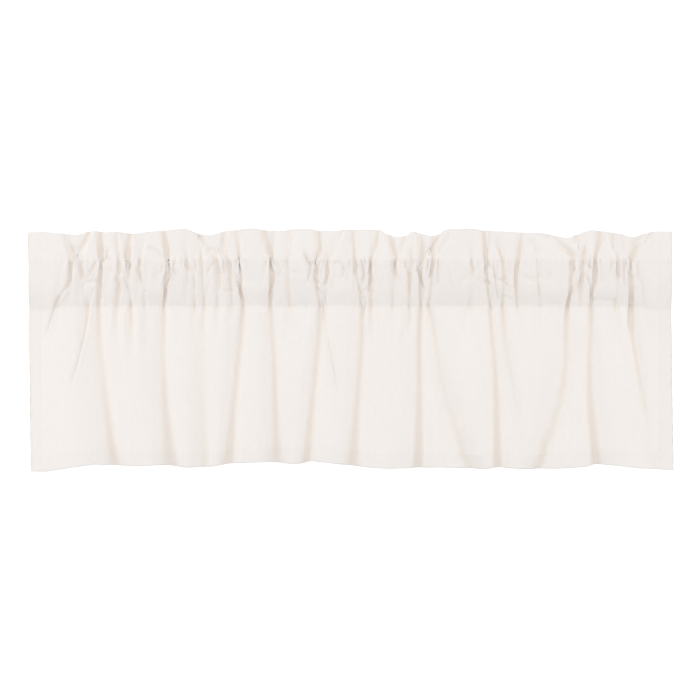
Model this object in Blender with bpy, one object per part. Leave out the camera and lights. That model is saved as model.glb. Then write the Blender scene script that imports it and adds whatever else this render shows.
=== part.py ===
"""Rod-pocket window valance, gathered, as it hangs from its rod (the rod itself isn't part of it).

One hemmed cotton panel. Its top is turned over to the back and stitched through twice, which makes a
standing header ruffle and, under it, a pocket that is open at both ends for a curtain rod.

Metres, +Z up, the room side faces -Y. The origin is the middle of the header's top edge.
"""
from collections import namedtuple

import bmesh
import bpy
import numpy as np

MM = 0.001

# Flat cloth, measured down from the header's top edge.
HEADER = 51 * MM
POCKET = 77 * MM
BODY = 285 * MM
HEM = 25 * MM
DROP = HEADER + POCKET + BODY
HEADER_SEAM = HEADER
POCKET_SEAM = HEADER + POCKET

# Gathered width, edge to edge, and the thickness that stands for one layer of cloth.
WIDTH = 1098 * MM
CLOTH = 1.1 * MM

# A fold's sides spread this far to each side of its deepest line, but no more than this share of the
# distance to the next fold. Part of the way out, at the shoulder, most of the depth is already lost.
FOLD_REACH = 19 * MM
FOLD_SHARE = 0.42
FOLD_SHOULDER = 0.45
SHOULDER_DEPTH = 0.58

# Broad cloth between two folds bows forward by a share of its breadth, and by less over the rod.
BOW_SHARE = 0.07
BOW_LIMIT = 7 * MM
BOW_LOST_ON_ROD = 0.6
BROAD_GAP = 40 * MM

# The pocket's walls stand off by these amounts at their fullest, which leaves room for a 15 mm rod. Each
# seam holds this much of the two walls together.
FRONT_BULGE = 17 * MM
BACK_BULGE = 17 * MM
SEAM_DEPTH = 2 * CLOTH

# Towards the side edges the pocket closes in on the rod.
MOUTH_FULLNESS = 0.75
MOUTH_REACH = 60 * MM

# Where the pocket seam and the hem hang.
HUNG_AT_POCKET_SEAM = -121 * MM
HUNG_AT_HEM = -404 * MM

# The pocket's side view: how far down the cloth, how full the wall is there, and the height it hangs at.
Station = namedtuple("Station", "down fullness height")
POCKET_SECTION = (
    Station(HEADER_SEAM, 0.00, -51 * MM),
    Station(59 * MM, 0.52, -55 * MM),
    Station(68 * MM, 0.90, -62 * MM),
    Station(79 * MM, 1.00, -73 * MM),
    Station(94 * MM, 0.82, -88 * MM),
    Station(111 * MM, 0.42, -105 * MM),
    Station(POCKET_SEAM, 0.00, HUNG_AT_POCKET_SEAM),
)

# The levels at which each fold is given: header edge, rod, pocket seam, middle of the body, hem.
LEVELS = np.array((0, 68 * MM, POCKET_SEAM, 262 * MM, DROP))

# One row for each fold, a valley as seen from the room. All values are millimetres: where its deepest
# line runs at each level, how deep it is there, how far the header edge dips, and how far the hem lifts.
Fold = namedtuple("Fold", "place depth dip lift")
FOLDS = (
    Fold((-478, -471, -492, -519, -529), (8, 6, 8, 2, 0), 8, -6),
    Fold((-451, -454, -449, -475, -482), (8, 7, 9, 7, 3), 8, -1),
    Fold((-425, -422, -430, -422, -405), (7, 9, 10, 13, 20), 3, 3),
    Fold((-381, -381, -377, -374, -369), (9, 8, 8, 7, 5), 7, 2),
    Fold((-316, -311, -319, -319, -311), (6, 9, 17, 18, 24), 3, 2),
    Fold((-287, -272, -261, -253, -249), (3, 6, 6, 8, 6), 4, 1),
    Fold((-241, -223, -215, -222, -228), (14, 9, 7, 4, 4), 10, 1),
    Fold((-195, -195, -184, -192, -203), (4, 8, 12, 15, 21), 1, 5),
    Fold((-147, -135, -137, -130, -125), (8, 9, 17, 18, 24), 1, 7),
    Fold((-53, -55, -51, -61, -75), (5, 9, 13, 14, 22), 3, 9),
    Fold((-22, -36, -31, -29, -20), (9, 8, 8, 7, 4), 4, 5),
    Fold((7, 19, 20, 10, -2), (5, 9, 13, 16, 22), 1, 2),
    Fold((48, 40, 38, 36, 38), (5, 8, 7, 6, 4), 2, -1),
    Fold((80, 80, 75, 73, 73), (14, 8, 6, 5, 4), 14, -2),
    Fold((139, 116, 119, 118, 116), (14, 9, 13, 13, 20), 13, 0),
    Fold((164, 143, 138, 161, 198), (4, 8, 9, 10, 14), 1, -2),
    Fold((232, 234, 239, 248, 251), (8, 9, 12, 13, 17), 4, -1),
    Fold((289, 273, 263, 277, 289), (6, 8, 9, 8, 4), 6, -2),
    Fold((371, 384, 371, 360, 321), (15, 9, 13, 15, 20), 16, -3),
    Fold((432, 406, 408, 406, 422), (8, 9, 15, 14, 18), 3, 4),
    Fold((483, 473, 480, 495, 521), (14, 9, 14, 10, 4), 12, -4),
)

# How far each side edge is drawn in at the five levels, most of all where the cloth is bunched on the rod.
EDGE_DRAWN_IN = (1, 4, 1, 0, -1)
EDGE_DIP = 6
LEFT_EDGE_LIFT = -8
RIGHT_EDGE_LIFT = -4

# Rows of the solid, down the flat cloth.
HEADER_ROWS = (0, 26 * MM, HEADER_SEAM)
POCKET_ROWS = tuple(station.down for station in POCKET_SECTION[1:-1])
BODY_ROWS = (POCKET_SEAM, 155 * MM, 200 * MM, 250 * MM, 300 * MM, 350 * MM, DROP - HEM, DROP)
ROWS = np.array(HEADER_ROWS + POCKET_ROWS + BODY_ROWS)
SEAM_ROW = len(HEADER_ROWS) - 1
POCKET_SEAM_ROW = SEAM_ROW + len(POCKET_ROWS) + 1
HEM_ROW = len(ROWS) - 2

COTTON_COLOUR = (0.89, 0.86, 0.82, 1.0)


def clear_scene():
    for thing in list(bpy.data.objects):
        bpy.data.objects.remove(thing, do_unlink=True)


def curve_through(values, down):
    """A smooth curve down the cloth through one value at each level."""
    values = np.array(values, dtype=float)
    slopes = np.gradient(values, LEVELS)
    k = int(np.clip(np.searchsorted(LEVELS, down) - 1, 0, len(LEVELS) - 2))
    span = LEVELS[k + 1] - LEVELS[k]
    u = (down - LEVELS[k]) / span
    start = values[k] * (1 + 2 * u) * (1 - u) ** 2 + slopes[k] * span * u * (1 - u) ** 2
    end = values[k + 1] * u ** 2 * (3 - 2 * u) + slopes[k + 1] * span * u ** 2 * (u - 1)
    return start + end


def is_broad(left, right):
    """Whether the cloth between two neighbouring lines is broad enough to bow forward."""
    return (right[1] - left[1]) * MM > BROAD_GAP


def lines_down_cloth():
    """Every line that runs down the cloth: the left edge, each fold and the right edge."""
    right = tuple(WIDTH / 2 / MM - drawn_in for drawn_in in EDGE_DRAWN_IN)
    left = tuple(-place for place in right)
    flat = (0,) * len(LEVELS)
    return [Fold(left, flat, EDGE_DIP, LEFT_EDGE_LIFT), *FOLDS, Fold(right, flat, EDGE_DIP, RIGHT_EDGE_LIFT)]


def row_of_columns(down):
    """Place across the window, depth, dip, lift and side-hem mark of each column at one level."""
    lines = lines_down_cloth()
    columns = []
    for k, (left, right) in enumerate(zip(lines[:-1], lines[1:])):
        start = curve_through(left.place, down) * MM
        gap = curve_through(right.place, down) * MM - start
        near = min(FOLD_REACH, FOLD_SHARE * gap)
        far = near
        if k == 0:
            near = min(HEM, FOLD_SHARE * gap)
        if k == len(lines) - 2:
            far = min(HEM, FOLD_SHARE * gap)
        left_depth = curve_through(left.depth, down) * MM
        right_depth = curve_through(right.depth, down) * MM
        steps = [
            (0, left_depth),
            (near * FOLD_SHOULDER, left_depth * SHOULDER_DEPTH),
            (near, 0),
            (gap - far, 0),
            (gap - far * FOLD_SHOULDER, right_depth * SHOULDER_DEPTH),
        ]
        if is_broad(left.place, right.place):
            kept = 1 - BOW_LOST_ON_ROD * fullness(down)
            steps.insert(3, (gap / 2, -min(BOW_SHARE * gap, BOW_LIMIT) * kept))
        for step, depth in steps:
            share = step / gap
            dip = (left.dip + (right.dip - left.dip) * share) * MM
            lift = (left.lift + (right.lift - left.lift) * share) * MM
            hemmed = (k == 0 and step <= near) or (k == len(lines) - 2 and step >= gap - far)
            columns.append((start + step, depth, dip, lift, hemmed))
    last = lines[-1]
    columns.append((curve_through(last.place, down) * MM, 0, last.dip * MM, last.lift * MM, True))
    return np.array(columns).T


def hung_height(down, dip, lift):
    """Height of the cloth: the header stands on the seam, the body hangs from the pocket."""
    if down <= HEADER_SEAM:
        return -down - dip * (1 - down / HEADER_SEAM)
    if down >= POCKET_SEAM:
        share = (down - POCKET_SEAM) / BODY
        return HUNG_AT_POCKET_SEAM + (HUNG_AT_HEM - HUNG_AT_POCKET_SEAM) * share + lift * share
    downs = [station.down for station in POCKET_SECTION]
    heights = [station.height for station in POCKET_SECTION]
    return np.full_like(dip, np.interp(down, downs, heights))


def fullness(down):
    downs = [station.down for station in POCKET_SECTION]
    return np.interp(down, downs, [station.fullness for station in POCKET_SECTION])


def cloth_surface(bulge):
    """Mid-surface of the cloth, a row for each level and a column for each place across the window."""
    rows = []
    for down in ROWS:
        across, depth, dip, lift, _ = row_of_columns(down)
        edge_distance = np.minimum(across - across[0], across[-1] - across)
        opened = np.interp(edge_distance, (0, MOUTH_REACH), (MOUTH_FULLNESS, 1))
        level_depth = depth - depth.mean() + bulge * fullness(down) * opened
        rows.append(np.stack((across, level_depth, hung_height(down, dip, lift)), axis=1))
    return np.array(rows)


def room_side_normals(surface):
    """Unit directions square to the cloth, on the room side."""
    across = np.gradient(surface, axis=1)
    down = np.gradient(surface, axis=0)
    normals = np.cross(down, across)
    normals /= np.linalg.norm(normals, axis=2, keepdims=True)
    return normals * np.sign(-normals[:, :, 1:2])


def half_thickness():
    """Half the cloth's thickness: one layer, or two in the header, at the seams and in the hems."""
    hemmed = row_of_columns(ROWS[0])[4]
    half = np.full((len(ROWS), len(hemmed)), CLOTH / 2)
    half[:SEAM_ROW + 1, :] = CLOTH
    half[POCKET_SEAM_ROW, :] = CLOTH
    half[HEM_ROW:, :] = CLOTH
    half[POCKET_SEAM_ROW:, hemmed > 0] = CLOTH
    return half[:, :, None]


def grid_vertices(mesh_points, points):
    """Adds a grid of points and returns its vertex numbers, laid out like the grid."""
    first = len(mesh_points)
    mesh_points.extend(points.reshape(-1, 3))
    return np.arange(first, len(mesh_points)).reshape(points.shape[:2])


def skin(faces, ring):
    """Quads all round a closed ring of vertex rows."""
    for here, after in zip(ring, ring[1:] + ring[:1]):
        for c in range(len(here) - 1):
            faces.append((here[c], here[c + 1], after[c + 1], after[c]))


def end_cap(faces, c, front, back, wall_front, wall_back, tips):
    """Closes one side edge of the cloth, leaving the pocket's mouth open."""
    for k in range(len(ROWS) - 1):
        if SEAM_ROW <= k < POCKET_SEAM_ROW:
            continue
        faces.append((front[k][c], front[k + 1][c], back[k + 1][c], back[k][c]))
    front_edge = [tips[0][c]] + [row[c] for row in wall_front] + [tips[1][c]]
    back_edge = [tips[0][c]] + [row[c] for row in wall_back] + [tips[1][c]]
    for k in range(len(front_edge) - 1):
        row = SEAM_ROW + k
        faces.append((front[row][c], front[row + 1][c], front_edge[k + 1], front_edge[k]))
        faces.append((back[row][c], back_edge[k], back_edge[k + 1], back[row + 1][c]))
    faces.append((front[SEAM_ROW][c], tips[0][c], back[SEAM_ROW][c]))
    faces.append((front[POCKET_SEAM_ROW][c], back[POCKET_SEAM_ROW][c], tips[1][c]))


def make_valance():
    """The whole panel as one closed solid with the rod pocket running through it."""
    front_surface = cloth_surface(-FRONT_BULGE)
    back_surface = cloth_surface(BACK_BULGE)
    front_normals = room_side_normals(front_surface)
    back_normals = room_side_normals(back_surface)
    half = half_thickness()
    walls = slice(SEAM_ROW + 1, POCKET_SEAM_ROW)
    seams = [SEAM_ROW, POCKET_SEAM_ROW]

    points = []
    front = grid_vertices(points, front_surface + front_normals * half)
    back = grid_vertices(points, back_surface - back_normals * half)
    wall_front = grid_vertices(points, (front_surface - front_normals * half)[walls])
    wall_back = grid_vertices(points, (back_surface + back_normals * half)[walls])
    towards_rod = np.array((-SEAM_DEPTH, SEAM_DEPTH))[:, None, None] * np.array((0, 0, 1))
    tips = grid_vertices(points, front_surface[seams] + towards_rod)

    faces = []
    skin(faces, list(front) + list(back[::-1]))
    skin(faces, [tips[1]] + list(wall_front[::-1]) + [tips[0]] + list(wall_back))
    for c in (0, front.shape[1] - 1):
        end_cap(faces, c, front, back, wall_front, wall_back, tips)

    mesh = bpy.data.meshes.new("valance")
    mesh.from_pydata([tuple(map(float, point)) for point in points], [], [list(map(int, f)) for f in faces])
    shape = bmesh.new()
    shape.from_mesh(mesh)
    bmesh.ops.recalc_face_normals(shape, faces=shape.faces)
    shape.to_mesh(mesh)
    shape.free()
    return mesh


def cotton():
    material = bpy.data.materials.new("natural_cotton")
    material.use_nodes = True
    shader = material.node_tree.nodes["Principled BSDF"]
    shader.inputs["Base Color"].default_value = COTTON_COLOUR
    shader.inputs["Roughness"].default_value = 0.9
    shader.inputs["Metallic"].default_value = 0.0
    return material


def main():
    clear_scene()
    mesh = make_valance()
    mesh.shade_smooth()
    mesh.materials.append(cotton())
    valance = bpy.data.objects.new("valance", mesh)
    bpy.context.scene.collection.objects.link(valance)


main()
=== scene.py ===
# %% [markdown]
# # A gathered rod-pocket valance
#
# A valance is a short curtain for the top of a window. This one is a single panel of natural cotton. Its
# sides and bottom are hemmed, and its top is turned over to the back and stitched through twice. The upper
# row of stitches leaves a ruffle standing, the header. The lower row closes a pocket for the curtain rod.
# Pushed together on the rod, the cloth bunches into knots there and falls below them in long folds.
#
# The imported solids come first. They fix the size and the place of everything, and nothing here moves them.

# %% The solids
import math
from collections import namedtuple

import bpy
import numpy as np
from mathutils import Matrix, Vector


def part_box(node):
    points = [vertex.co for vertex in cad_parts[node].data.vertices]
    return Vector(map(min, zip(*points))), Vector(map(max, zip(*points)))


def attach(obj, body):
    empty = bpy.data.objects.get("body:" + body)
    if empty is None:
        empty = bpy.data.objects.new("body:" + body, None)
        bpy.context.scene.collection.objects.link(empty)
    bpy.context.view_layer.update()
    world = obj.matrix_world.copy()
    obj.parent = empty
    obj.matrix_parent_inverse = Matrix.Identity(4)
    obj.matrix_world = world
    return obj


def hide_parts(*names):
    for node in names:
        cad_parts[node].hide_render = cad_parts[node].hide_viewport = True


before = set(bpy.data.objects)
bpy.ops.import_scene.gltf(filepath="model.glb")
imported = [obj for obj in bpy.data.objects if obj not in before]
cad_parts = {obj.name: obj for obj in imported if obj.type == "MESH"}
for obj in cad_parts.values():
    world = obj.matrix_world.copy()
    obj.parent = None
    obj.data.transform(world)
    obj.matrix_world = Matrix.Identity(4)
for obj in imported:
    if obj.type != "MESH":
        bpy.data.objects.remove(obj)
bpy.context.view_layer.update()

low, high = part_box("valance")
print(len(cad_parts), "solid in the frame")
print("solid, lowest corner ", [round(v, 4) for v in low])
print("solid, highest corner", [round(v, 4) for v in high])

# %% [markdown]
# ## Sizes of the sewn panel
#
# A ready-made valance of this kind hangs 16 inches and is 52 inches wide when hemmed. The header takes a
# little over 2 inches of the drop and the pocket 3. The gathered width comes from the solid, less a hair on
# each side.

# %% Sizes
MM = 0.001
HEADER = 54 * MM
POCKET = 77 * MM
BODY = 282 * MM
HEM = 25 * MM
HEADER_SEAM = HEADER
POCKET_SEAM = HEADER + POCKET
DROP = HEADER + POCKET + BODY
FLAT_WIDTH = 1321 * MM
SIDE_CLEARANCE = 1 * MM
GATHERED_WIDTH = high[0] - low[0] - 2 * SIDE_CLEARANCE
ROD_LEVEL = 68 * MM
ROD_HEIGHT = -ROD_LEVEL
ROD_RADIUS = 7.5 * MM
print(f"flat {FLAT_WIDTH:.3f} m, gathered to {GATHERED_WIDTH:.3f} m")
print(f"{FLAT_WIDTH / GATHERED_WIDTH:.2f} times full")

# %% [markdown]
# ## The camera
#
# The photograph looks at the middle of the valance from straight in front. A camera close by would see more
# of the side folds' flanks than it does. A long lens from a few steps away sees them as the photograph does
# and keeps the side edges upright. The picture is square, so one width sets the view.

# %% Camera
PICTURE_WIDTH = 1195 * MM
CAMERA_DISTANCE = 2300 * MM
PICTURE_CENTRE = Vector((0, 0, -205.5 * MM))
SENSOR = 36.0


def make_camera():
    data = bpy.data.cameras.new("camera")
    data.sensor_width = SENSOR
    data.lens = SENSOR * CAMERA_DISTANCE / PICTURE_WIDTH
    camera = bpy.data.objects.new("camera", data)
    camera.location = PICTURE_CENTRE + Vector((0, -CAMERA_DISTANCE, 0))
    camera.rotation_euler = (math.radians(90), 0, 0)
    bpy.context.scene.collection.objects.link(camera)
    bpy.context.scene.camera = camera
    print(f"camera {CAMERA_DISTANCE:.2f} m away, lens {data.lens:.0f} mm")


make_camera()

# %% [markdown]
# ## The folds
#
# Folds are the whole character of a gathered cloth, so each one is placed one by one. A fold is a valley as
# seen from the room. It is followed down the cloth through five levels: the header's edge, the rod, the
# pocket seam, the middle of the body and the hem. Some run from top to bottom. Others are only a knot on
# the rod and die out in the body. A computer could scatter folds evenly, but a real valance has wide and
# narrow ones, and the eye knows the difference.

# %% The table of folds
MID_BODY = 262 * MM
LEVELS = np.array((0, ROD_LEVEL, POCKET_SEAM, MID_BODY, DROP))
AT_ROD = 1

# Millimetres at each level. place and depth: the valley's deepest line. reach: how far its sides spread.
Fold = namedtuple("Fold", "place depth reach")
FOLDS = (
    Fold((-463, -475, -498, -519, -526), (7, 8, 5.5, 0.5, 0), (22, 7, 7, 9, 9)),
    Fold((-459, -457, -451, -473, -482), (7, 7, 5.5, 2.5, 0), (22, 6, 6, 9, 9)),
    Fold((-425, -424, -431, -422, -403), (2.5, 7, 5.5, 5.5, 11.5), (10, 2.3, 2.7, 10, 16.5)),
    Fold((-398, -391, -398, -394, -389), (2, 7, 5.5, 2, 0), (11, 6, 6, 10, 12)),
    Fold((-379, -376, -374, -372, -369), (3.5, 8, 6.5, 2, 0), (12, 6, 6, 10, 12)),
    Fold((-353, -357, -352, -347, -342), (1.5, 6, 5, 1, 0), (13, 7, 7, 12, 12)),
    Fold((-316, -309, -319, -319, -307), (2, 8, 6, 6, 14), (11, 2.3, 2.7, 10, 22)),
    Fold((-283, -276, -266, -262, -260), (0.5, 6, 5, 1, 0), (13, 6, 6, 10, 12)),
    Fold((-256, -252, -249, -253, -249), (0.5, 4.5, 3.5, 3.5, 6), (13, 2.3, 2.7, 14, 20)),
    Fold((-243, -224, -225, -229, -232), (6, 8, 5.5, 1, 0), (25, 7, 7, 10, 10)),
    Fold((-228, -205, -203, -210, -219), (5, 8, 5, 1, 0), (18, 6, 6, 9, 10)),
    Fold((-193, -187, -183, -195, -209), (1, 7, 5.5, 6, 12.5), (12, 2.3, 2.7, 10, 18.5)),
    Fold((-137, -133, -137, -130, -128), (4, 8, 6, 6.5, 15), (16, 2.3, 2.7, 10, 21)),
    Fold((-102, -106, -103, -103, -100), (1, 6, 5, 2, 0), (14, 8, 8, 12, 12)),
    Fold((-42, -60, -51, -61, -73), (4, 8, 6, 6, 11.5), (19, 2.3, 2.7, 9, 12)),
    Fold((-33, -40, -43, -29, -14), (4, 8, 6.5, 2.5, 0), (18, 6, 6, 8, 10)),
    Fold((3, 10, 20, 14, 4), (1.5, 7, 5.5, 6.5, 12.5), (12, 2.3, 2.7, 10, 18.5)),
    Fold((46, 34, 37, 38, 38), (1.5, 8, 5.5, 2.5, 0), (11, 6, 6, 9, 12)),
    Fold((80, 75, 72, 72, 73), (8, 8, 5.5, 1, 0), (21, 7, 7, 10, 12)),
    Fold((104, 102, 99, 88, 84), (0.5, 7, 5.5, 1, 0), (12, 6, 6, 9, 12)),
    Fold((134, 119, 121, 119, 116), (7, 8, 6, 6, 11.5), (20, 2.3, 2.7, 9, 11)),
    Fold((141, 140, 133, 156, 203), (5, 7, 5.5, 4.5, 8.5), (14, 2.3, 2.7, 10, 22)),
    Fold((201, 208, 205, 195, 190), (0.5, 5, 4, 1, 0), (13, 9, 9, 12, 12)),
    Fold((226, 231, 240, 249, 253), (2.5, 8, 6, 6, 10), (10, 2.3, 2.7, 8, 9)),
    Fold((244, 262, 260, 273, 290), (2, 8, 6.5, 5, 2), (10, 5, 5, 8, 10)),
    Fold((290, 282, 285, 294, 304), (2.5, 7, 5, 1, 0), (11, 6, 6, 10, 12)),
    Fold((317, 318, 322, 325, 325), (0, 4, 4, 1, 0), (13, 8, 8, 12, 12)),
    Fold((365, 379, 371, 367, 320), (7, 8, 6, 5.5, 8.5), (31, 2.3, 2.7, 10, 14.5)),
    Fold((397, 394, 391, 386, 382), (0.5, 8, 5, 1, 0), (12, 6, 6, 8, 10)),
    Fold((424, 415, 411, 408, 422), (3, 8, 6, 6, 11.5), (12, 2.3, 2.7, 9, 14.5)),
    Fold((447, 455, 452, 447, 449), (2, 7, 5, 1, 0), (11, 6, 6, 9, 12)),
    Fold((485, 475, 481, 496, 521), (8, 8, 6, 4.5, 6), (22, 2.3, 2.7, 10, 14.5)),
)
# How far each side edge is drawn in from the full width at the five levels.
LEFT_DRAWN_IN = (1, 3, 2, 2, 4)
RIGHT_DRAWN_IN = (2, 2, 1, 0, 0)
FLAT_EDGE_REACH = (9, 9, 9, 9, 9)


def lines_down_cloth():
    """The left edge, each fold and the right edge, in order across the window."""
    half = GATHERED_WIDTH / 2 / MM
    flat = (0,) * len(LEVELS)
    first = Fold(tuple(drawn_in - half for drawn_in in LEFT_DRAWN_IN), flat, FLAT_EDGE_REACH)
    last = Fold(tuple(half - drawn_in for drawn_in in RIGHT_DRAWN_IN), flat, FLAT_EDGE_REACH)
    return (first, *FOLDS, last)


LINES = lines_down_cloth()
print(len(FOLDS), "folds")

# %% [markdown]
# ## The two free edges
#
# Neither edge of a gathered valance is straight. The header's edge dips where a fold pushes it back, and
# the hem rises where the cloth has been drawn up. Both are short tables of place and height.

# %% Edges
# Millimetres: place across the window, height below the valance's highest line.
HEADER_EDGE = (
    (-550, -6), (-521, -5), (-495, -8), (-461, -10), (-447, -4), (-435, -2), (-418, -6), (-393, -5),
    (-367, -9), (-342, -5), (-316, -3), (-277, 0), (-251, -10), (-231, -11), (-219, -5), (-179, 0),
    (-150, 0), (-140, -3), (-111, -3), (-97, 0), (-65, 0), (-51, -3), (-26, -4), (-9, -1), (51, -1),
    (65, -8), (80, -14), (94, -11), (106, -3), (128, -9), (142, -13), (150, -9), (161, -1), (213, 0),
    (231, -3), (282, -6), (333, -8), (359, -13), (372, -16), (384, -9), (413, -1), (441, -6),
    (470, -11), (482, -15), (495, -9), (512, -5), (550, -4),
)
HEM_EDGE = (
    (-550, -413), (-519, -413), (-478, -406), (-435, -400), (-401, -403), (-324, -402), (-282, -406),
    (-239, -405), (-205, -400), (-171, -397), (-145, -397), (-102, -400), (-80, -400), (-68, -395),
    (-43, -397), (9, -404), (60, -407), (111, -407), (154, -405), (188, -407), (231, -409),
    (256, -406), (307, -409), (359, -407), (410, -404), (418, -401), (453, -402), (495, -407), (550, -411),
)
EDGE_SOFTNESS = 5 * MM


def edge_height(table, places):
    """Height of an edge at places across the window, its corners a little rounded."""
    across = [place * MM for place, height in table]
    heights = [height * MM for place, height in table]
    shifts = (-EDGE_SOFTNESS, 0, EDGE_SOFTNESS)
    return np.mean([np.interp(places + shift, across, heights) for shift in shifts], axis=0)


print("the header's edge dips by up to", -min(height for place, height in HEADER_EDGE), "mm")
hem_heights = [-height for place, height in HEM_EDGE]
print("the hem hangs", min(hem_heights), "to", max(hem_heights), "mm below the highest line")

# %% [markdown]
# ## Rows and columns of cloth
#
# Cloth doesn't stretch much, so it is laid out first as it was cut: flat, in metres. Columns run down the
# cloth under 2 mm apart. Rows run across it, closer together where it is stitched and bunched. The strip
# starts at the hem, climbs the front to the header's edge, turns over and comes down to the pocket seam.

# %% Rows and columns
COLUMNS = 820
COLUMN_STEP = FLAT_WIDTH / (COLUMNS - 1)
FOLD_OVER = 1.2 * MM
HEM_STEP = 6 * MM
LOWER_BODY_STEP = 13 * MM
UPPER_BODY_STEP = 8 * MM
POCKET_STEP = 2.5 * MM
HEADER_STEP = 2.9 * MM


def spaced(start, stop, step):
    """Evenly spaced values after start, up to and including stop."""
    count = round(abs(stop - start) / step)
    return list(np.linspace(start, stop, count + 1)[1:])


def strip_rows():
    """How far down the cloth each row of the strip lies, from the hem up, over the top and down."""
    front = [DROP, DROP - FOLD_OVER]
    front += spaced(front[-1], DROP - HEM, HEM_STEP)
    front += spaced(front[-1], LEVELS[3], LOWER_BODY_STEP)
    front += spaced(front[-1], POCKET_SEAM, UPPER_BODY_STEP)
    pocket_seam = len(front) - 1
    front += spaced(POCKET_SEAM, HEADER_SEAM, POCKET_STEP)
    header_seam = len(front) - 1
    front += spaced(HEADER_SEAM, FOLD_OVER, HEADER_STEP) + [0]
    top = len(front) - 1
    back = [front[k] for k in range(top - 1, pocket_seam - 1, -1)]
    return np.array(front + back), pocket_seam, header_seam, top


DOWN, POCKET_ROW, HEADER_ROW, TOP_ROW = strip_rows()
BACK_HEADER_ROW = 2 * TOP_ROW - HEADER_ROW
BACK_POCKET_ROW = 2 * TOP_ROW - POCKET_ROW
POCKET_ROWS_BEHIND = BACK_POCKET_ROW - BACK_HEADER_ROW
ALONG = np.linspace(0, FLAT_WIDTH, COLUMNS)
print(f"{len(DOWN)} rows by {COLUMNS} columns")

# %% [markdown]
# ## Gathering the panel
#
# At each level the cloth is a wavy line: a valley at every fold and broad cloth between. The long folds,
# which are still deep at the hem, part the panel into stretches. At the rod the short folds take up a
# stretch's cloth in knots. Lower down they fade, and the whole stretch bows forward instead. That is why
# tight knots open into a few broad waves at the hem. The threads hang straight, so where a long fold runs
# at a slant, cloth passes from the stretch on one side of it to the other.
#
# First come three small helpers: a running total, an easing curve, and a smooth curve through the five
# levels.

# %% Small helpers
def running_total(steps):
    """0, then the sum of the steps so far after each of them."""
    return np.concatenate(([0], np.cumsum(steps)))


def eased(u):
    """From 0 to 1 with a soft start and a soft end."""
    u = np.clip(u, 0, 1)
    return u * u * (3 - 2 * u)


def curve_through(values, down):
    """A smooth curve down the cloth through one value at each level."""
    values = np.array(values, dtype=float)
    slopes = np.gradient(values, LEVELS)
    k = int(np.clip(np.searchsorted(LEVELS, down) - 1, 0, len(LEVELS) - 2))
    span = LEVELS[k + 1] - LEVELS[k]
    u = (down - LEVELS[k]) / span
    start = values[k] * (1 + 2 * u) * (1 - u) ** 2 + slopes[k] * span * u * (1 - u) ** 2
    end = values[k + 1] * u ** 2 * (3 - 2 * u) + slopes[k + 1] * span * u ** 2 * (u - 1)
    return start + end


print("an eased quarter is", eased(0.25), "and an eased half", eased(0.5))

# %% [markdown]
# The line of one stretch is its valleys, laid over each other, less a bow towards the room. At the header's
# edge and at the hem the valleys have flat floors, because nothing pinches them there.

# %% One stretch of cloth
SAMPLES = 401
BOW_ROUNDNESS = 1.2
HEADER_FLOOR = 0.6
HEM_FLOOR = 0.35
LONG_FOLD_DEPTH = 5


def valley(distance, reach, floor=0.0):
    """Depth of a valley of unit depth at a distance from its deepest line. A share of it can be flat."""
    return eased((1 - np.abs(distance) / reach) / (1 - floor))


def cloth_between(stretch, down, scale, bow):
    """The wavy line of one stretch, from a long fold to the next: places across the window and depths."""
    places = [curve_through(line.place, down) * MM for line in stretch]
    depths = [curve_through(line.depth, down) * MM * scale for line in stretch]
    reaches = [np.interp(down, LEVELS, line.reach) * MM for line in stretch]
    u = np.linspace(0, 1, SAMPLES)
    x = places[0] + u * (places[-1] - places[0])
    y = np.zeros(SAMPLES)
    floor = HEADER_FLOOR * max(1 - down / HEADER_SEAM, 0)
    floor += HEM_FLOOR * max((down - MID_BODY) / (DROP - MID_BODY), 0)
    for place, depth, reach in zip(places, depths, reaches):
        y = np.maximum(y, depth * valley(x - place, reach, floor))
    return x, y - bow * np.sin(np.pi * u).clip(0) ** BOW_ROUNDNESS


def line_length(line):
    return np.hypot(np.diff(line[0]), np.diff(line[1])).sum()


def stretches():
    """The lines grouped from one long fold to the next. Both ends belong to the group."""
    longs = [k for k, line in enumerate(LINES) if line.depth[-1] >= LONG_FOLD_DEPTH]
    ends = [0, *longs, len(LINES) - 1]
    return [LINES[a:b + 1] for a, b in zip(ends[:-1], ends[1:])]


STRETCHES = stretches()
print(len(STRETCHES), "stretches between the long folds")

# %% [markdown]
# Each stretch takes its share of the panel at the rod. All depths are scaled by one number, found by
# halving, so that the shares add up to the whole panel. Further down, part of the knots' cloth spreads out.

# %% Shares of the cloth
LEAST_BOW = 0.05
SCALES_TRIED = (0.1, 5.0)
HALVINGS = 24
EVENNESS = 0.7


def lengths_at_rod(scale):
    """Length of cloth in each stretch at the rod, for a scale of depth."""
    lengths = []
    for stretch in STRETCHES:
        gap = (stretch[-1].place[AT_ROD] - stretch[0].place[AT_ROD]) * MM
        lengths.append(line_length(cloth_between(stretch, ROD_LEVEL, scale, LEAST_BOW * gap)))
    return np.array(lengths)


def cloth_shares():
    """How much flat cloth each stretch holds, and the scale of depth that uses up the whole panel."""
    least, most = SCALES_TRIED
    for _ in range(HALVINGS):
        scale = (least + most) / 2
        if lengths_at_rod(scale).sum() < FLAT_WIDTH:
            least = scale
        else:
            most = scale
    shares = lengths_at_rod(scale)
    return shares * FLAT_WIDTH / shares.sum(), scale


SHARES, DEPTH_SCALE = cloth_shares()


def cloth_by_place():
    """How much cloth lies left of each place across the window, with the knots' cloth spread evenly."""
    half = GATHERED_WIDTH / 2
    places = np.linspace(-half, half, SAMPLES)
    inner_ends = [stretch[0].place[AT_ROD] * MM for stretch in STRETCHES[1:]]
    gathered = np.interp(places, [-half, *inner_ends, half], running_total(SHARES))
    even = FLAT_WIDTH * (places + half) / GATHERED_WIDTH
    return places, gathered + EVENNESS * (even - gathered)


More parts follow.
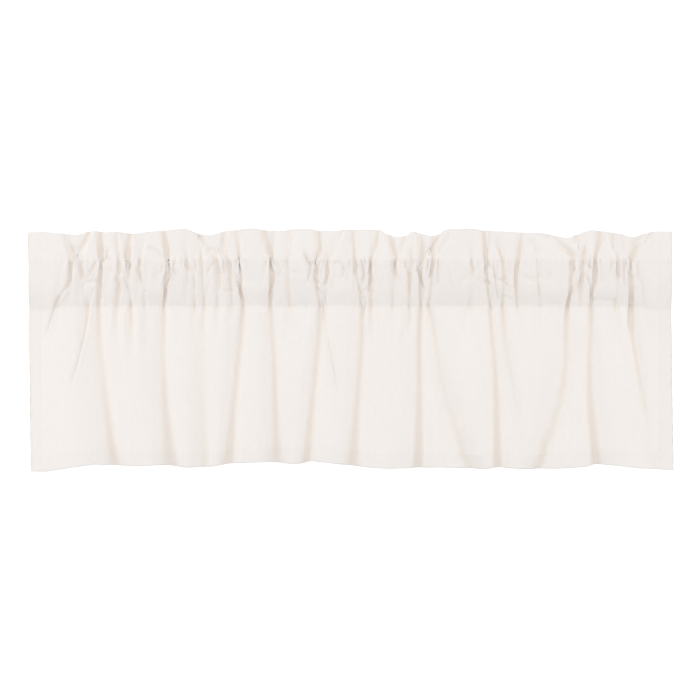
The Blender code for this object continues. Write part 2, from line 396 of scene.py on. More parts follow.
PLACES, CLOTH_LEFT_OF = cloth_by_place()


def starts_at(down):
    """Where each stretch starts on the flat cloth at one level, and where the last one ends."""
    at_rod = running_total(SHARES)
    lines = [stretch[0] for stretch in STRETCHES[1:]]
    places = [curve_through(line.place, down) * MM for line in lines]
    below = np.concatenate(([0], np.interp(places, PLACES, CLOTH_LEFT_OF), [FLAT_WIDTH]))
    fall = float(np.clip((down - ROD_LEVEL) / (MID_BODY - ROD_LEVEL), 0, 1))
    return at_rod + fall * (below - at_rod)


print("shares of cloth", (SHARES * 1000).round().astype(int), "mm")
print(f"depths are scaled by {DEPTH_SCALE:.2f} to use up the cloth")

# %% [markdown]
# What a stretch's valleys don't use up makes it bow forward. The bow is found by halving at the five levels
# and read between them. It has a limit at each level. The limit is small near the rod, where real cloth is
# bunched in gathers finer than this grid. Some of those are pressed in later.

# %% Bows
MOST_BOW = (8 * MM, 8 * MM, 9 * MM, 20 * MM, 28 * MM)
BOW_SHARE = 0.14
HAIR = 0.001 * MM


def bow_that_fits(stretch, down, share, most):
    """How far one stretch bows forward so that its line is as long as its share of cloth, up to a limit."""
    span = (curve_through(stretch[-1].place, down) - curve_through(stretch[0].place, down)) * MM
    least, most = 0.0, min(most, BOW_SHARE * span)
    for _ in range(HALVINGS):
        bow = (least + most) / 2
        if line_length(cloth_between(stretch, down, DEPTH_SCALE, bow)) < share:
            least = bow
        else:
            most = bow
    return bow


def bows():
    """The bow of every stretch at the five levels."""
    found = []
    for down, most in zip(LEVELS, MOST_BOW):
        shares = np.diff(starts_at(down))
        level = [bow_that_fits(stretch, down, share, most) for stretch, share in zip(STRETCHES, shares)]
        found.append(level)
    return np.array(found)


BOWS = bows()


def gathered_line(down):
    """Place and depth of every column at one level, equally spaced along the cloth."""
    places, depths = np.empty(COLUMNS), np.empty(COLUMNS)
    starts = starts_at(down)
    for k, stretch in enumerate(STRETCHES):
        share = starts[k + 1] - starts[k]
        bow = float(np.interp(down, LEVELS, BOWS[:, k]))
        x, y = cloth_between(stretch, down, DEPTH_SCALE, bow)
        along_line = running_total(np.hypot(np.diff(x), np.diff(y)))
        along_line *= share / along_line[-1]
        mine = (ALONG >= starts[k] - HAIR) & (ALONG <= starts[k + 1] + HAIR)
        places[mine] = np.interp(ALONG[mine] - starts[k], along_line, x)
        depths[mine] = np.interp(ALONG[mine] - starts[k], along_line, y)
    return places, depths - depths.mean()


print("bows at the hem", (BOWS[-1] * 1000).round(1), "mm")

# %% [markdown]
# ## The first shape
#
# The two walls of the pocket pass in front of the rod and behind it, and meet at the seams above and below.
# Seen from the side they make a slim drop shape. The header stands over the rod's front with its two layers
# together, and its rows close up where the edge dips. The knots draw the pocket up, so it is shortest
# between the sides.

# %% First shape
Station = namedtuple("Station", "down front back height")
SECTION = (
    Station(0, -12 * MM, -12 * MM, 0),
    Station(HEADER_SEAM, -12 * MM, -12 * MM, -55 * MM),
    Station(60 * MM, -14 * MM, -2 * MM, -60 * MM),
    Station(67 * MM, -15.5 * MM, 9 * MM, -66 * MM),
    Station(78 * MM, -15 * MM, 12 * MM, -76 * MM),
    Station(94 * MM, -11.5 * MM, 10 * MM, -91 * MM),
    Station(113 * MM, -6 * MM, 5 * MM, -108 * MM),
    Station(POCKET_SEAM, 0, 0, -125 * MM),
    Station(DROP, 0, 0, -407 * MM),
)
SIDES_HANG_LOWER = 8 * MM
FLAT_SIDE = 34 * MM
SIDE_SLOPE = 40 * MM


def lower_at_sides():
    """How much lower the pocket seam lies in every column; the flat sides have no knots to draw them up."""
    from_edge = np.minimum(ALONG, FLAT_WIDTH - ALONG)
    return SIDES_HANG_LOWER * eased((FLAT_SIDE + SIDE_SLOPE - from_edge) / SIDE_SLOPE)


def first_shape():
    """The strip gathered on the rod, before it is let hang."""
    downs = [station.down for station in SECTION]
    front = np.interp(DOWN, downs, [station.front for station in SECTION])
    back = np.interp(DOWN, downs, [station.back for station in SECTION])
    height = np.interp(DOWN, downs, [station.height for station in SECTION])
    at_rod, at_seam = gathered_line(ROD_LEVEL), gathered_line(POCKET_SEAM)
    dip = edge_height(HEADER_EDGE, gathered_line(0)[0])
    lower = lower_at_sides()
    points = np.empty((len(DOWN), COLUMNS, 3))
    for row in range(TOP_ROW + 1):
        down = DOWN[row]
        in_header = max(1 - down / HEADER_SEAM, 0)
        below_rod = (down - ROD_LEVEL) / (POCKET_SEAM - ROD_LEVEL)
        if 0 < below_rod < 1:
            places, depths = [rod + below_rod * (seam - rod) for rod, seam in zip(at_rod, at_seam)]
        else:
            places, depths = gathered_line(down)
        from_seam = np.interp(down, (HEADER_SEAM, POCKET_SEAM, DROP), (0, 1, 0))
        points[row, :, 0] = places
        points[row, :, 1] = depths + front[row]
        points[row, :, 2] = height[row] + dip * in_header - lower * from_seam
        if row >= POCKET_ROW:
            behind = points[2 * TOP_ROW - row]
            behind[:] = points[row]
            behind[:, 1] += back[row] - front[row]
    return points


start_shape = first_shape()
print("first shape spans", [round(float(v), 3) for v in np.ptp(start_shape, axis=(0, 1))])

# %% [markdown]
# ## Letting it hang
#
# The first shape has the right amount of cloth across, but it has no weight and its folds are too tidy. So
# it is let go. Every point is tied to its neighbours by threads of fixed length, across, down and on the
# diagonals, and stiffer ties between points further apart resist bending. The ties are pulled true over
# and over while the cloth sinks under its own weight against the rod. Blender's cloth simulation could do
# this too. As the panel is a plain grid, though, a few lines of array code settle it in seconds, and they
# can hold the folds near their places. The header stands up stiffly above its seam, so it keeps the shape
# it was given.

# %% Ties between the points
STIFF_REACH = 2
HELD_FIRMLY = 1.0


def pull_true(points, first, second, length, stiffness):
    """Moves each pair of points towards its own length, each point by half."""
    gap = points[second] - points[first]
    now = np.sqrt((gap * gap).sum(axis=-1, keepdims=True))
    gap *= 0.5 * stiffness * (1 - length / np.maximum(now, HAIR))
    points[first] += gap
    points[second] -= gap


def pairs(count, reach):
    """Slices that pair each point with the one so far on, in groups that share no point."""
    groups = []
    for start in range(2 * reach):
        groups.append((slice(start, count - reach, 2 * reach), slice(start + reach, count, 2 * reach)))
    return groups


def stiffen(cloth, amount):
    """Draws every point towards the middle of its neighbours across, as thick yarn does."""
    middle = (cloth[:, :-2 * STIFF_REACH] + cloth[:, 2 * STIFF_REACH:]) / 2
    inner = cloth[:, STIFF_REACH:-STIFF_REACH]
    inner += amount * (middle - inner)


print("ties between neighbours fall into", len(pairs(COLUMNS, 1)), "groups")

# %% [markdown]
# Not every row hangs, and not every row bends alike. The hem is stiff with its layers, and the body is
# stiffer than the bunched pocket. The pocket's back wall has a little slack.

# %% What hangs, and how firmly
BEND_ACROSS = 0.30
BEND_ACROSS_POCKET = 0.02
BEND_ACROSS_HEM = 0.4
BEND_DOWN = 0.1
BEND_DOWN_BODY = 0.3
SLACK_BEHIND = 1.03


def rest_on_rod(wall):
    """Pushes the points of one pocket wall out of the rod."""
    depth, height = wall[..., 1], wall[..., 2] - ROD_HEIGHT
    outward = np.maximum(ROD_RADIUS / np.maximum(np.hypot(depth, height), HAIR), 1)
    wall[..., 1] = depth * outward
    wall[..., 2] = ROD_HEIGHT + height * outward


def below_header(strip):
    """The rows that hang: the body, the pocket's front wall and its back wall."""
    return np.concatenate((strip[:HEADER_ROW + 1], strip[BACK_HEADER_ROW:]))


HANGING_DOWN = below_header(DOWN)
FRONT_WALL = slice(POCKET_ROW + 1, HEADER_ROW)
BACK_WALL = slice(HEADER_ROW + 2, len(HANGING_DOWN) - 1)
HELD_ROWS = slice(HEADER_ROW, HEADER_ROW + 2)


def tie_lengths(start):
    """Lengths of the ties across and down. Where the cloth is bunched, they are what the bunching left."""
    across = np.linalg.norm(np.diff(start, axis=1), axis=2, keepdims=True)
    down = np.linalg.norm(np.diff(start, axis=0), axis=2, keepdims=True)
    down[:POCKET_ROW] = np.abs(np.diff(HANGING_DOWN))[:POCKET_ROW, None, None]
    down[BACK_WALL] *= SLACK_BEHIND
    return across, down


def bend_stiffness():
    """How firmly each row resists bending across the window, and down it."""
    across = np.full((len(HANGING_DOWN), 1, 1), BEND_ACROSS)
    across[POCKET_ROW:] = BEND_ACROSS_POCKET
    across[HANGING_DOWN > DROP - HEM] = BEND_ACROSS_HEM
    down = np.full((len(HANGING_DOWN) - 2, 1, 1), BEND_DOWN)
    down[:POCKET_ROW - 1] = BEND_DOWN_BODY
    down[[POCKET_ROW - 1, HEADER_ROW - 1, HEADER_ROW]] = 0
    return across, down


print(len(HANGING_DOWN), "rows hang, the rest stand in the header")

# %% [markdown]
# Each step lets the cloth sink a little and then pulls all ties true several times. The folds are drawn
# gently back to their places, or they would wander. At the end the hem is trimmed to its own line.

# %% The settling
STEPS = 50
ROUNDS = 8
SAG_A_STEP = 0.02 * MM
KEPT_SPEED = 0.9
SHEAR_STIFFNESS = 0.3
BEND_REACH = 4
FOLD_PULL = 0.01
SEAM_PULL = 0.05
BODY_STIFFNESS = 0.3


def settle(start):
    """The hanging rows after they have sunk onto the rod and come to rest."""
    rows = len(start)
    rest_on_rod(start[FRONT_WALL])
    rest_on_rod(start[BACK_WALL])
    across, down = tie_lengths(start)
    two_down = down[:-1] + down[1:]
    from_edge = np.cumsum(np.concatenate((np.zeros((rows, 1, 1)), across), axis=1), axis=1)
    bend_length = from_edge[:, BEND_REACH:] - from_edge[:, :-BEND_REACH]
    falling = np.linalg.norm(start[1:, 1:] - start[:-1, :-1], axis=2, keepdims=True)
    rising = np.linalg.norm(start[1:, :-1] - start[:-1, 1:], axis=2, keepdims=True)
    bend_across, bend_down = bend_stiffness()
    everything = slice(None)
    speed = np.zeros_like(start)
    points = start.copy()
    for _ in range(STEPS):
        before = points.copy()
        points += speed * KEPT_SPEED
        points[:, :, 2] -= SAG_A_STEP
        for _ in range(ROUNDS):
            for a, b in pairs(COLUMNS, 1):
                pull_true(points, (everything, a), (everything, b), across[:, a], HELD_FIRMLY)
            for a, b in pairs(rows, 1):
                pull_true(points, a, b, down[a], HELD_FIRMLY)
                pull_true(points, (a, slice(0, -1)), (b, slice(1, None)), falling[a], SHEAR_STIFFNESS)
                pull_true(points, (a, slice(1, None)), (b, slice(0, -1)), rising[a], SHEAR_STIFFNESS)
            for a, b in pairs(COLUMNS, BEND_REACH):
                pull_true(points, (everything, a), (everything, b), bend_length[:, a], bend_across)
            for a, b in pairs(rows, 2):
                pull_true(points, a, b, two_down[a], bend_down[a])
            rest_on_rod(points[FRONT_WALL])
            rest_on_rod(points[BACK_WALL])
            points[[POCKET_ROW, -1]] = (points[POCKET_ROW] + points[-1]) / 2
            points[HELD_ROWS] = start[HELD_ROWS]
        stiffen(points[:POCKET_ROW], BODY_STIFFNESS)
        points[:, :, 0] += FOLD_PULL * (start[:, :, 0] - points[:, :, 0])
        seam_drift = start[POCKET_ROW, :, 1] - points[POCKET_ROW, :, 1]
        points[[POCKET_ROW, -1], :, 1] += SEAM_PULL * seam_drift
        speed = points - before
    return points


def trim_hem(body):
    """Draws the body's rows up or down so that the hem follows its own line."""
    seam, hem = body[-1, :, 2], body[0, :, 2]
    wanted = edge_height(HEM_EDGE, body[0, :, 0])
    share = (seam - body[..., 2]) / (seam - hem)
    body[..., 2] += share * (wanted - hem)


def hang(strip):
    """The whole strip, hung on the rod."""
    settled = settle(below_header(strip))
    trim_hem(settled[:POCKET_ROW + 1])
    header = strip[HEADER_ROW + 1:BACK_HEADER_ROW]
    return np.concatenate((settled[:HEADER_ROW + 1], header, settled[HEADER_ROW + 1:]))


hung = hang(start_shape)
across = np.linalg.norm(np.diff(below_header(hung), axis=1), axis=2) / COLUMN_STEP
print("stretch across, least to most:", np.percentile(across, (1, 50, 99)).round(3))
print("lowest point", round(float(hung[..., 2].min()), 4), "highest", round(float(hung[..., 2].max()), 4))

# %% [markdown]
# ## Creases set one by one
#
# The settled cloth has the large folds. The knots on the rod are full of smaller creases, sharp and bent.
# Some fan out into the header, and a few run down into the body. Each is drawn here as a line on the
# picture plane and pressed into the front as a groove. Where one side is raised, the cloth stands up there.
# A bump texture could fake them, but it would leave the cloth's outline and its real shape untouched.

# %% Creases
# Millimetres. raised: 1 for the right side, -1 for the left, 0 for neither. line: place and height.
Crease = namedtuple("Crease", "depth width raised line")
CREASES = (
    Crease(3.5, 2.4, 1, ((-473, -47), (-475, -69), (-475, -86), (-480, -98), (-493, -114),
        (-500, -126), (-509, -151), (-521, -185))),
    Crease(2, 2.2, 0, ((-463, -59), (-470, -66))),
    Crease(2.5, 3, 1, ((-458, -59), (-454, -81), (-451, -88), (-454, -105), (-453, -120))),
    Crease(2.5, 2.2, -1, ((-429, -52), (-437, -64), (-444, -79))),
    Crease(2, 2, 0, ((-432, -71), (-435, -81), (-429, -88))),
    Crease(2.8, 1.7, -1, ((-423, -49), (-423, -71), (-425, -91), (-423, -100), (-425, -119))),
    Crease(3, 3, 0, ((-451, -91), (-437, -90), (-425, -91))),
    Crease(3, 2, 0, ((-422, -50), (-418, -54), (-413, -49), (-405, -55))),
    Crease(2.5, 3.4, 0, ((-408, -66), (-401, -81), (-393, -90), (-393, -107), (-396, -122))),
    Crease(2.2, 1.9, 1, ((-389, -55), (-388, -74), (-381, -91), (-374, -110))),
    Crease(3.5, 2, 0, ((-379, -54), (-374, -59), (-374, -69))),
    Crease(3, 3, -1, ((-364, -64), (-357, -81), (-353, -95), (-347, -108))),
    Crease(1.5, 2.4, 0, ((-336, -66), (-330, -73), (-330, -86))),
    Crease(2.5, 2, 0, ((-316, -54), (-321, -76))),
    Crease(2.8, 1.9, 1, ((-306, -59), (-307, -81), (-314, -98), (-318, -126))),
    Crease(2.5, 2, 0, ((-312, -74), (-319, -100))),
    Crease(3, 2, 0, ((-297, -52), (-301, -64), (-299, -78))),
    Crease(2.5, 3.4, 1, ((-278, -61), (-268, -76), (-265, -88), (-263, -107))),
    Crease(2.5, 2.4, 0, ((-227, -52), (-236, -62), (-242, -76))),
    Crease(1.5, 3, 0, ((-232, -74), (-241, -100), (-251, -129))),
    Crease(3, 2.4, -1, ((-224, -59), (-220, -85), (-219, -100), (-215, -124))),
    Crease(2, 2, 0, ((-213, -57), (-212, -79))),
    Crease(2.5, 1.7, 0, ((-205, -52), (-203, -64), (-201, -83))),
    Crease(3.5, 2.2, 1, ((-196, -64), (-191, -88), (-186, -100), (-183, -122))),
    Crease(1.8, 2.2, 0, ((-217, -108), (-205, -103), (-195, -105))),
    Crease(1.5, 2.2, 0, ((-176, -52), (-176, -73))),
    Crease(2.5, 1.7, 1, ((-135, -38), (-133, -49), (-135, -62), (-130, -74), (-131, -91), (-137, -107),
        (-137, -126))),
    Crease(1.8, 2.4, 0, ((-121, -54), (-108, -57), (-116, -71), (-126, -81))),
    Crease(1.5, 4, 0, ((-101, -74), (-79, -76))),
    Crease(3.5, 2.2, 1, ((-80, -35), (-73, -52), (-67, -62), (-68, -78), (-73, -91))),
    Crease(3, 2, -1, ((-50, -47), (-51, -57), (-56, -66), (-58, -79))),
    Crease(2.2, 1.7, -1, ((-61, -64), (-63, -79), (-58, -90), (-50, -93))),
    Crease(2.5, 1.9, -1, ((-41, -55), (-38, -73), (-41, -88), (-48, -100))),
    Crease(3, 2, 0, ((-31, -42), (-31, -57), (-15, -59), (-10, -69), (-14, -85))),
    Crease(1.8, 2.6, 0, ((-26, -78), (-31, -107))),
    Crease(2.5, 1.9, 1, ((-58, -96), (-50, -108), (-47, -124), (-45, -148))),
    Crease(3, 2.4, 1, ((12, -59), (7, -78), (7, -93), (5, -115))),
    Crease(3.5, 2, -1, ((20, -54), (23, -76), (20, -96))),
    Crease(3.5, 2, 1, ((34, -54), (36, -85), (31, -105))),
    Crease(1.8, 2, 0, ((39, -55), (43, -73), (41, -103))),
    Crease(2.5, 2.4, 0, ((17, -108), (29, -103), (43, -108))),
    Crease(3, 2.4, -1, ((20, -108), (26, -126), (20, -151))),
    Crease(2, 2.8, 0, ((65, -55), (68, -76), (71, -124))),
    Crease(3, 2, 1, ((77, -50), (77, -71), (82, -88))),
    Crease(2.5, 2.6, 1, ((92, -59), (101, -78), (101, -117))),
    Crease(2.5, 2, 0, ((104, -49), (111, -66))),
    Crease(3, 2, -1, ((108, -47), (113, -61), (118, -74), (120, -88), (125, -102), (126, -127))),
    Crease(2.5, 2.4, 1, ((142, -57), (137, -79), (130, -91))),
    Crease(2.5, 2.4, -1, ((147, -64), (150, -96))),
    Crease(1.5, 2.6, 0, ((169, -66), (171, -105))),
    Crease(2, 5, 0, ((212, -64), (201, -81), (188, -91))),
    Crease(1.8, 2.6, 0, ((219, -81), (218, -102), (224, -126))),
    Crease(3.4, 1.7, 0, ((232, -33), (232, -50), (236, -61), (241, -71))),
    Crease(2.2, 1.9, -1, ((231, -62), (226, -74), (227, -86), (237, -91), (242, -102), (243, -117),
        (246, -131))),
    Crease(3, 2, 1, ((245, -59), (247, -85), (251, -108), (254, -131))),
    Crease(2.5, 2.2, 0, ((246, -83), (254, -88), (265, -85))),
    Crease(2.5, 1.9, -1, ((267, -52), (266, -74), (263, -91), (270, -100), (273, -112))),
    Crease(2, 2.2, 0, ((256, -114), (266, -115), (278, -122))),
    Crease(2.5, 2.4, 1, ((290, -35), (285, -62), (282, -74), (282, -88), (283, -119))),
    Crease(2, 4, 0, ((292, -79), (302, -86), (316, -88))),
    Crease(2, 3, 0, ((318, -73), (319, -93), (323, -119))),
    Crease(1.2, 2.8, 0, ((340, -74), (338, -91))),
    Crease(2, 2.4, 0, ((375, -52), (372, -71), (374, -95))),
    Crease(2.2, 2, -1, ((384, -57), (383, -86), (379, -100), (373, -115), (371, -131), (369, -155))),
    Crease(3.4, 1.7, 0, ((400, -28), (399, -52), (394, -64))),
    Crease(2.2, 1.7, 0, ((402, -55), (412, -71))),
    Crease(3, 2.4, -1, ((396, -74), (389, -95), (386, -114))),
    Crease(3, 2.4, 1, ((398, -74), (406, -88), (410, -100), (413, -120))),
    Crease(3, 1.9, 1, ((420, -57), (418, -81), (417, -98), (412, -119))),
    Crease(1.5, 3, 0, ((412, -119), (427, -120), (461, -124))),
    Crease(1.8, 2.4, 0, ((444, -55), (447, -86))),
    Crease(2.8, 2, -1, ((453, -55), (454, -74), (459, -85))),
    Crease(3, 2, 0, ((466, -50), (465, -73), (467, -103))),
    Crease(2.2, 2.2, -1, ((466, -74), (475, -76), (481, -83), (482, -96), (480, -114), (481, -131),
        (477, -155), (480, -175))),
    Crease(1.8, 2.6, 0, ((487, -59), (490, -81), (497, -98), (500, -137))),
    Crease(4.5, 3.6, 0, ((-493, 9), (-482, -18), (-473, -38), (-471, -55))),
    Crease(3.9, 4.0, 0, ((-434, 6), (-447, -15), (-461, -37), (-466, -55))),
    Crease(4.2, 3.8, 0, ((-425, 13), (-425, -25), (-423, -55))),
    Crease(3.5, 2.9, 0, ((-410, -32), (-415, -52))),
    Crease(4.2, 4.0, 0, ((-369, 9), (-376, -26), (-379, -57))),
    Crease(2.6, 3.8, 0, ((-398, 13), (-394, -35))),
    Crease(3.5, 3.1, 0, ((-343, -30), (-328, -38), (-312, -54))),
    Crease(3.1, 4.3, 0, ((-318, 13), (-314, -26), (-311, -52))),
    Crease(2.2, 4.2, 0, ((-280, 9), (-258, -15), (-242, -38), (-224, -54))),
    Crease(3.1, 3.8, 0, ((-207, 6), (-215, -18), (-219, -45))),
    Crease(2.9, 2.9, 0, ((-244, -33), (-232, -35), (-220, -45))),
    Crease(5.6, 3.4, 0, ((-154, 20), (-145, -15), (-135, -45))),
    Crease(2.1, 4.5, 0, ((-106, 9), (-101, -28))),
    Crease(2.9, 3.6, 0, ((-56, 13), (-50, -49))),
    Crease(3.9, 4.0, 0, ((-7, 9), (-22, -21), (-32, -52))),
    Crease(2.5, 4.0, 0, ((5, 13), (2, -28))),
    Crease(3.1, 3.1, 0, ((50, 13), (46, -18), (46, -55))),
    Crease(4.2, 3.4, 0, ((53, 9), (70, -23), (79, -55))),
    Crease(4.2, 3.4, 0, ((106, 6), (92, -23), (85, -55))),
    Crease(3.9, 3.4, 0, ((111, 9), (121, -26), (121, -55))),
    Crease(4.5, 3.6, 0, ((164, 6), (147, -21), (128, -49))),
    Crease(2.9, 3.6, 0, ((174, 3), (159, -26), (143, -49))),
    Crease(3.5, 2.9, 0, ((224, 13), (229, -21), (231, -45))),
    Crease(3.5, 2.9, 0, ((236, 13), (237, -18), (236, -42))),
    Crease(3.1, 3.4, 0, ((292, 13), (289, -28), (289, -55))),
    Crease(2.1, 4.5, 0, ((306, -18), (314, -45))),
    Crease(4.6, 4.4, 0, ((318, -9), (345, -19), (369, -34), (391, -54))),
    Crease(3.1, 3.4, 0, ((391, 6), (386, -18), (391, -42))),
    Crease(3.1, 3.4, 0, ((420, 13), (427, -18), (422, -44))),
    Crease(3.1, 3.8, 0, ((447, 9), (444, -42))),
    Crease(3.1, 3.4, 0, ((461, 9), (459, -21), (464, -49))),
    Crease(4.6, 4.6, 0, ((526, -1), (504, -16), (489, -35), (478, -57))),
    Crease(3.2, 2.6, 1, ((-435, -98), (-446, -129), (-453, -180), (-464, -226), (-478, -271))),
    Crease(3, 3, -1, ((-46, -134), (-38, -189), (-20, -283))),
    Crease(1.4, 6, 0, ((36, -120), (38, -209))),
    Crease(1.4, 5, 0, ((108, -120), (91, -185))),
    Crease(1.4, 5, 0, ((205, -120), (190, -178))),
    Crease(1.4, 6, 0, ((-374, -120), (-372, -223))),
    Crease(1.4, 6, 0, ((-396, -120), (-394, -209))),
    Crease(1.8, 3, -1, ((260, -117), (270, -206), (287, -325))),
    Crease(2.2, 5, 0, ((477, -108), (479, -140), (481, -180))),
    Crease(2.2, 4, 0, ((478, -121), (481, -172), (486, -205), (492, -241), (502, -295), (512, -349))),
)
WELT = 0.45
WELT_AT = 1.7
TAPER = 0.25


def crease_shape(places, heights, crease):
    """How deep one crease is pressed at every point; less than nothing where the cloth stands up."""
    line = np.array(crease.line) * MM
    steps = np.diff(line, axis=0)
    lengths = np.hypot(steps[:, 0], steps[:, 1])
    before = running_total(lengths)
    nearest = np.full(places.shape, np.inf)
    aside = np.zeros(places.shape)
    along = np.zeros(places.shape)
    for (x, z), (dx, dz), length, start in zip(line, steps, lengths, before):
        u = np.clip(((places - x) * dx + (heights - z) * dz) / length ** 2, 0, 1)
        off_x, off_z = places - x - u * dx, heights - z - u * dz
        distance = np.hypot(off_x, off_z)
        closer = distance < nearest
        side = np.sign(off_z * dx - off_x * dz)
        nearest = np.where(closer, distance, nearest)
        aside = np.where(closer, side * distance, aside)
        along = np.where(closer, (start + u * length) / before[-1], along)
    width = crease.width * MM
    ends = np.sqrt(np.clip(np.minimum(along, 1 - along) / TAPER, 0, 1))
    groove = valley(nearest, 2 * width)
    welt = valley(aside - crease.raised * WELT_AT * width, 2 * width) * abs(crease.raised)
    return crease.depth * MM * ends * (groove - WELT * welt)


print(len(CREASES), "creases, the deepest", max(crease.depth for crease in CREASES), "mm")

# %% [markdown]
# ## Bellies, gathers and puckers
#
# Between the knots the pocket's front hangs slack and bellies out a little above its seam. A belly is a
# wide crease of negative depth. Beside the seams the cloth is drawn into gathers too fine to place one by
# one, and the stitches of the hem pucker it a little. These are waves of several lengths along the cloth.
# Chance sets where each wave starts, and a seed makes it the same chance each time.

# %% Bellies
BELLIES = (
    Crease(-2.2, 10, 0, ((-361, -102), (-338, -104), (-316, -106))),
    Crease(-2, 10, 0, ((-187, -101), (-160, -103), (-136, -104))),
    Crease(-2, 10, 0, ((-28, -101), (-8, -103), (11, -105))),
    Crease(-2, 11, 0, ((276, -102), (330, -104), (374, -106))),
    Crease(-2.2, 10, 0, ((406, -103), (436, -105), (464, -107))),
)
print(len(BELLIES), "bellies in the pocket's front")

# %% Gathers and puckers
SEED = 11
chance = np.random.default_rng(SEED)
GATHER_PITCHES = (6.7 * MM, 8.9 * MM, 12.3 * MM)
HEM_PITCHES = (9.5 * MM, 14 * MM, 22 * MM)
SWELL_PITCHES = 4.3
GATHER_DEPTH = 1.8 * MM
GATHER_ABOVE = 9 * MM
GATHER_BELOW = 24 * MM
PUCKER_DEPTH = 0.5 * MM
PUCKER_REACH = 11 * MM
# Millimetres: how far a knot bunches the cloth beside it, and the fold depth that bunches it fully.
KNOT_REACH = 20
KNOT_DEPTH = 8
KNOT_SHARE_ELSEWHERE = 0.3


def ripples(pitches):
    """A small irregular wave along the cloth, about one high, of several lengths that fade in and out."""
    wave = np.zeros(COLUMNS)
    for pitch in pitches:
        start, drift = chance.uniform(0, 2 * np.pi, 2)
        swell = 1 + np.sin(ALONG * 2 * np.pi / (pitch * SWELL_PITCHES) + drift)
        wave += swell * np.sin(ALONG * 2 * np.pi / pitch + start) / 2
    return wave / math.sqrt(len(pitches) / 2)


def beside(down, seam, above, below):
    """1 at a seam, easing to 0 so far above it and so far below it."""
    u = np.where(down < seam, (seam - down) / above, (down - seam) / below)
    return valley(u, 1)


def pucker(front_down, places):
    """How deep the small gathers and puckers beside the stitching are, at every point of the front."""
    at_rod = places[HEADER_ROW] / MM
    bunched = sum(fold.depth[AT_ROD] * valley(at_rod - fold.place[AT_ROD], KNOT_REACH) for fold in FOLDS)
    bunched = KNOT_SHARE_ELSEWHERE + np.clip(bunched / KNOT_DEPTH, 0, 1)
    down = front_down[:, None]
    small = GATHER_DEPTH * bunched * ripples(GATHER_PITCHES)
    depth = beside(down, HEADER_SEAM, GATHER_ABOVE, GATHER_BELOW) * small
    small = PUCKER_DEPTH * bunched * ripples(GATHER_PITCHES)
    depth = depth + beside(down, POCKET_SEAM, PUCKER_REACH, PUCKER_REACH) * small
    at_hem = beside(down, DROP - HEM, PUCKER_REACH, PUCKER_REACH) * PUCKER_DEPTH
    return depth + at_hem * ripples(HEM_PITCHES)


print("gathers up to about", round(GATHER_DEPTH / MM, 1), "mm deep beside the header seam")

# %% [markdown]
# All of it is pressed in along the cloth's own normals, so a groove on the flank of a fold goes into the
# flank and not straight back.

# %% Pressing them in
def normals_of(points):
    """Unit normals of a grid of points, pointing away from the wrong side of the cloth."""
    normals = np.cross(np.gradient(points, axis=1), np.gradient(points, axis=0))
    return normals / np.linalg.norm(normals, axis=2, keepdims=True)


def press_creases(points):
    """The settled strip with creases, bellies and gathers pressed into its front."""
    points = points.copy()
    front = points[:TOP_ROW + 1]
    inward = -normals_of(front)
    pressed = np.zeros(front.shape[:2])
    for crease in CREASES + BELLIES:
        pressed += crease_shape(front[..., 0], front[..., 2], crease)
    pressed += pucker(DOWN[:TOP_ROW + 1], front[..., 0])
    front += inward * pressed[..., None]
    return points


creased = press_creases(hung)
print("a point moved by up to", round(float(np.abs(creased - hung).max()) * 1000, 1), "mm")

# %% [markdown]
# ## Turned edges
#
# On the real panel the sides are hemmed first, then the bottom, and the top is turned over last. All of it
# stays one piece of cloth. So the hems are more rows and columns of the same grid, laid behind the cloth
# at a small gap. In the header the two layers lie face to face. The gap is wider at the sides, where the
# side hems lie between them.

# %% Hems and facing
LAYER_GAP = 0.8 * MM
HEM_GAP = 0.5 * MM
UNDER_GAP = 0.25 * MM
TURN_UNDER = 8 * MM
CORNER_EXTRA = 1.0 * MM
CORNER_BLEND = 6 * MM
FACING_BELOW_SEAM = 3 * MM

# Down the cloth, gap behind it: the hem from its raw edge, turned under, up to the fold at the bottom.
BOTTOM_TURN = (
    (DROP - HEM + TURN_UNDER, UNDER_GAP),
    (DROP - HEM + FOLD_OVER, UNDER_GAP),
    (DROP - HEM, (UNDER_GAP + HEM_GAP) / 2),
    (DROP - HEM + FOLD_OVER, HEM_GAP),
    (DROP - HEM * 2 / 3, HEM_GAP),
    (DROP - HEM / 3, HEM_GAP),
    (DROP - FOLD_OVER, HEM_GAP),
)
# The same for the facing's lower edge, behind the pocket seam.
FACING_TURN = (
    (POCKET_SEAM + FACING_BELOW_SEAM - FOLD_OVER, LAYER_GAP),
    (POCKET_SEAM + FACING_BELOW_SEAM, (UNDER_GAP + LAYER_GAP) / 2),
    (POCKET_SEAM + FACING_BELOW_SEAM - FOLD_OVER, UNDER_GAP),
)
# In from the side edge, gap behind the cloth: a side hem from its edge to its raw end, turned under.
SIDE_TURN = (
    (FOLD_OVER, HEM_GAP),
    (HEM / 4, HEM_GAP),
    (HEM / 2, HEM_GAP),
    (HEM * 3 / 4, HEM_GAP),
    (HEM - FOLD_OVER, HEM_GAP),
    (HEM, (UNDER_GAP + HEM_GAP) / 2),
    (HEM - FOLD_OVER, UNDER_GAP),
    (HEM - TURN_UNDER, UNDER_GAP),
)
print("the hems are", HEM / MM, "mm deep, with", TURN_UNDER / MM, "mm turned under")

# %% [markdown]
# The hem and the facing are rows of their own. Each takes its place from the front at the same distance down
# the cloth, moved back along the normals by its gap.

# %% The strip with its hem and facing
# The back shows less, so it keeps every second row of the front's.
BEHIND_HEADER = (TOP_ROW - 1, *range(TOP_ROW - 2, HEADER_ROW, -2), HEADER_ROW)
BEHIND_POCKET = range(2, POCKET_ROWS_BEHIND, 2)


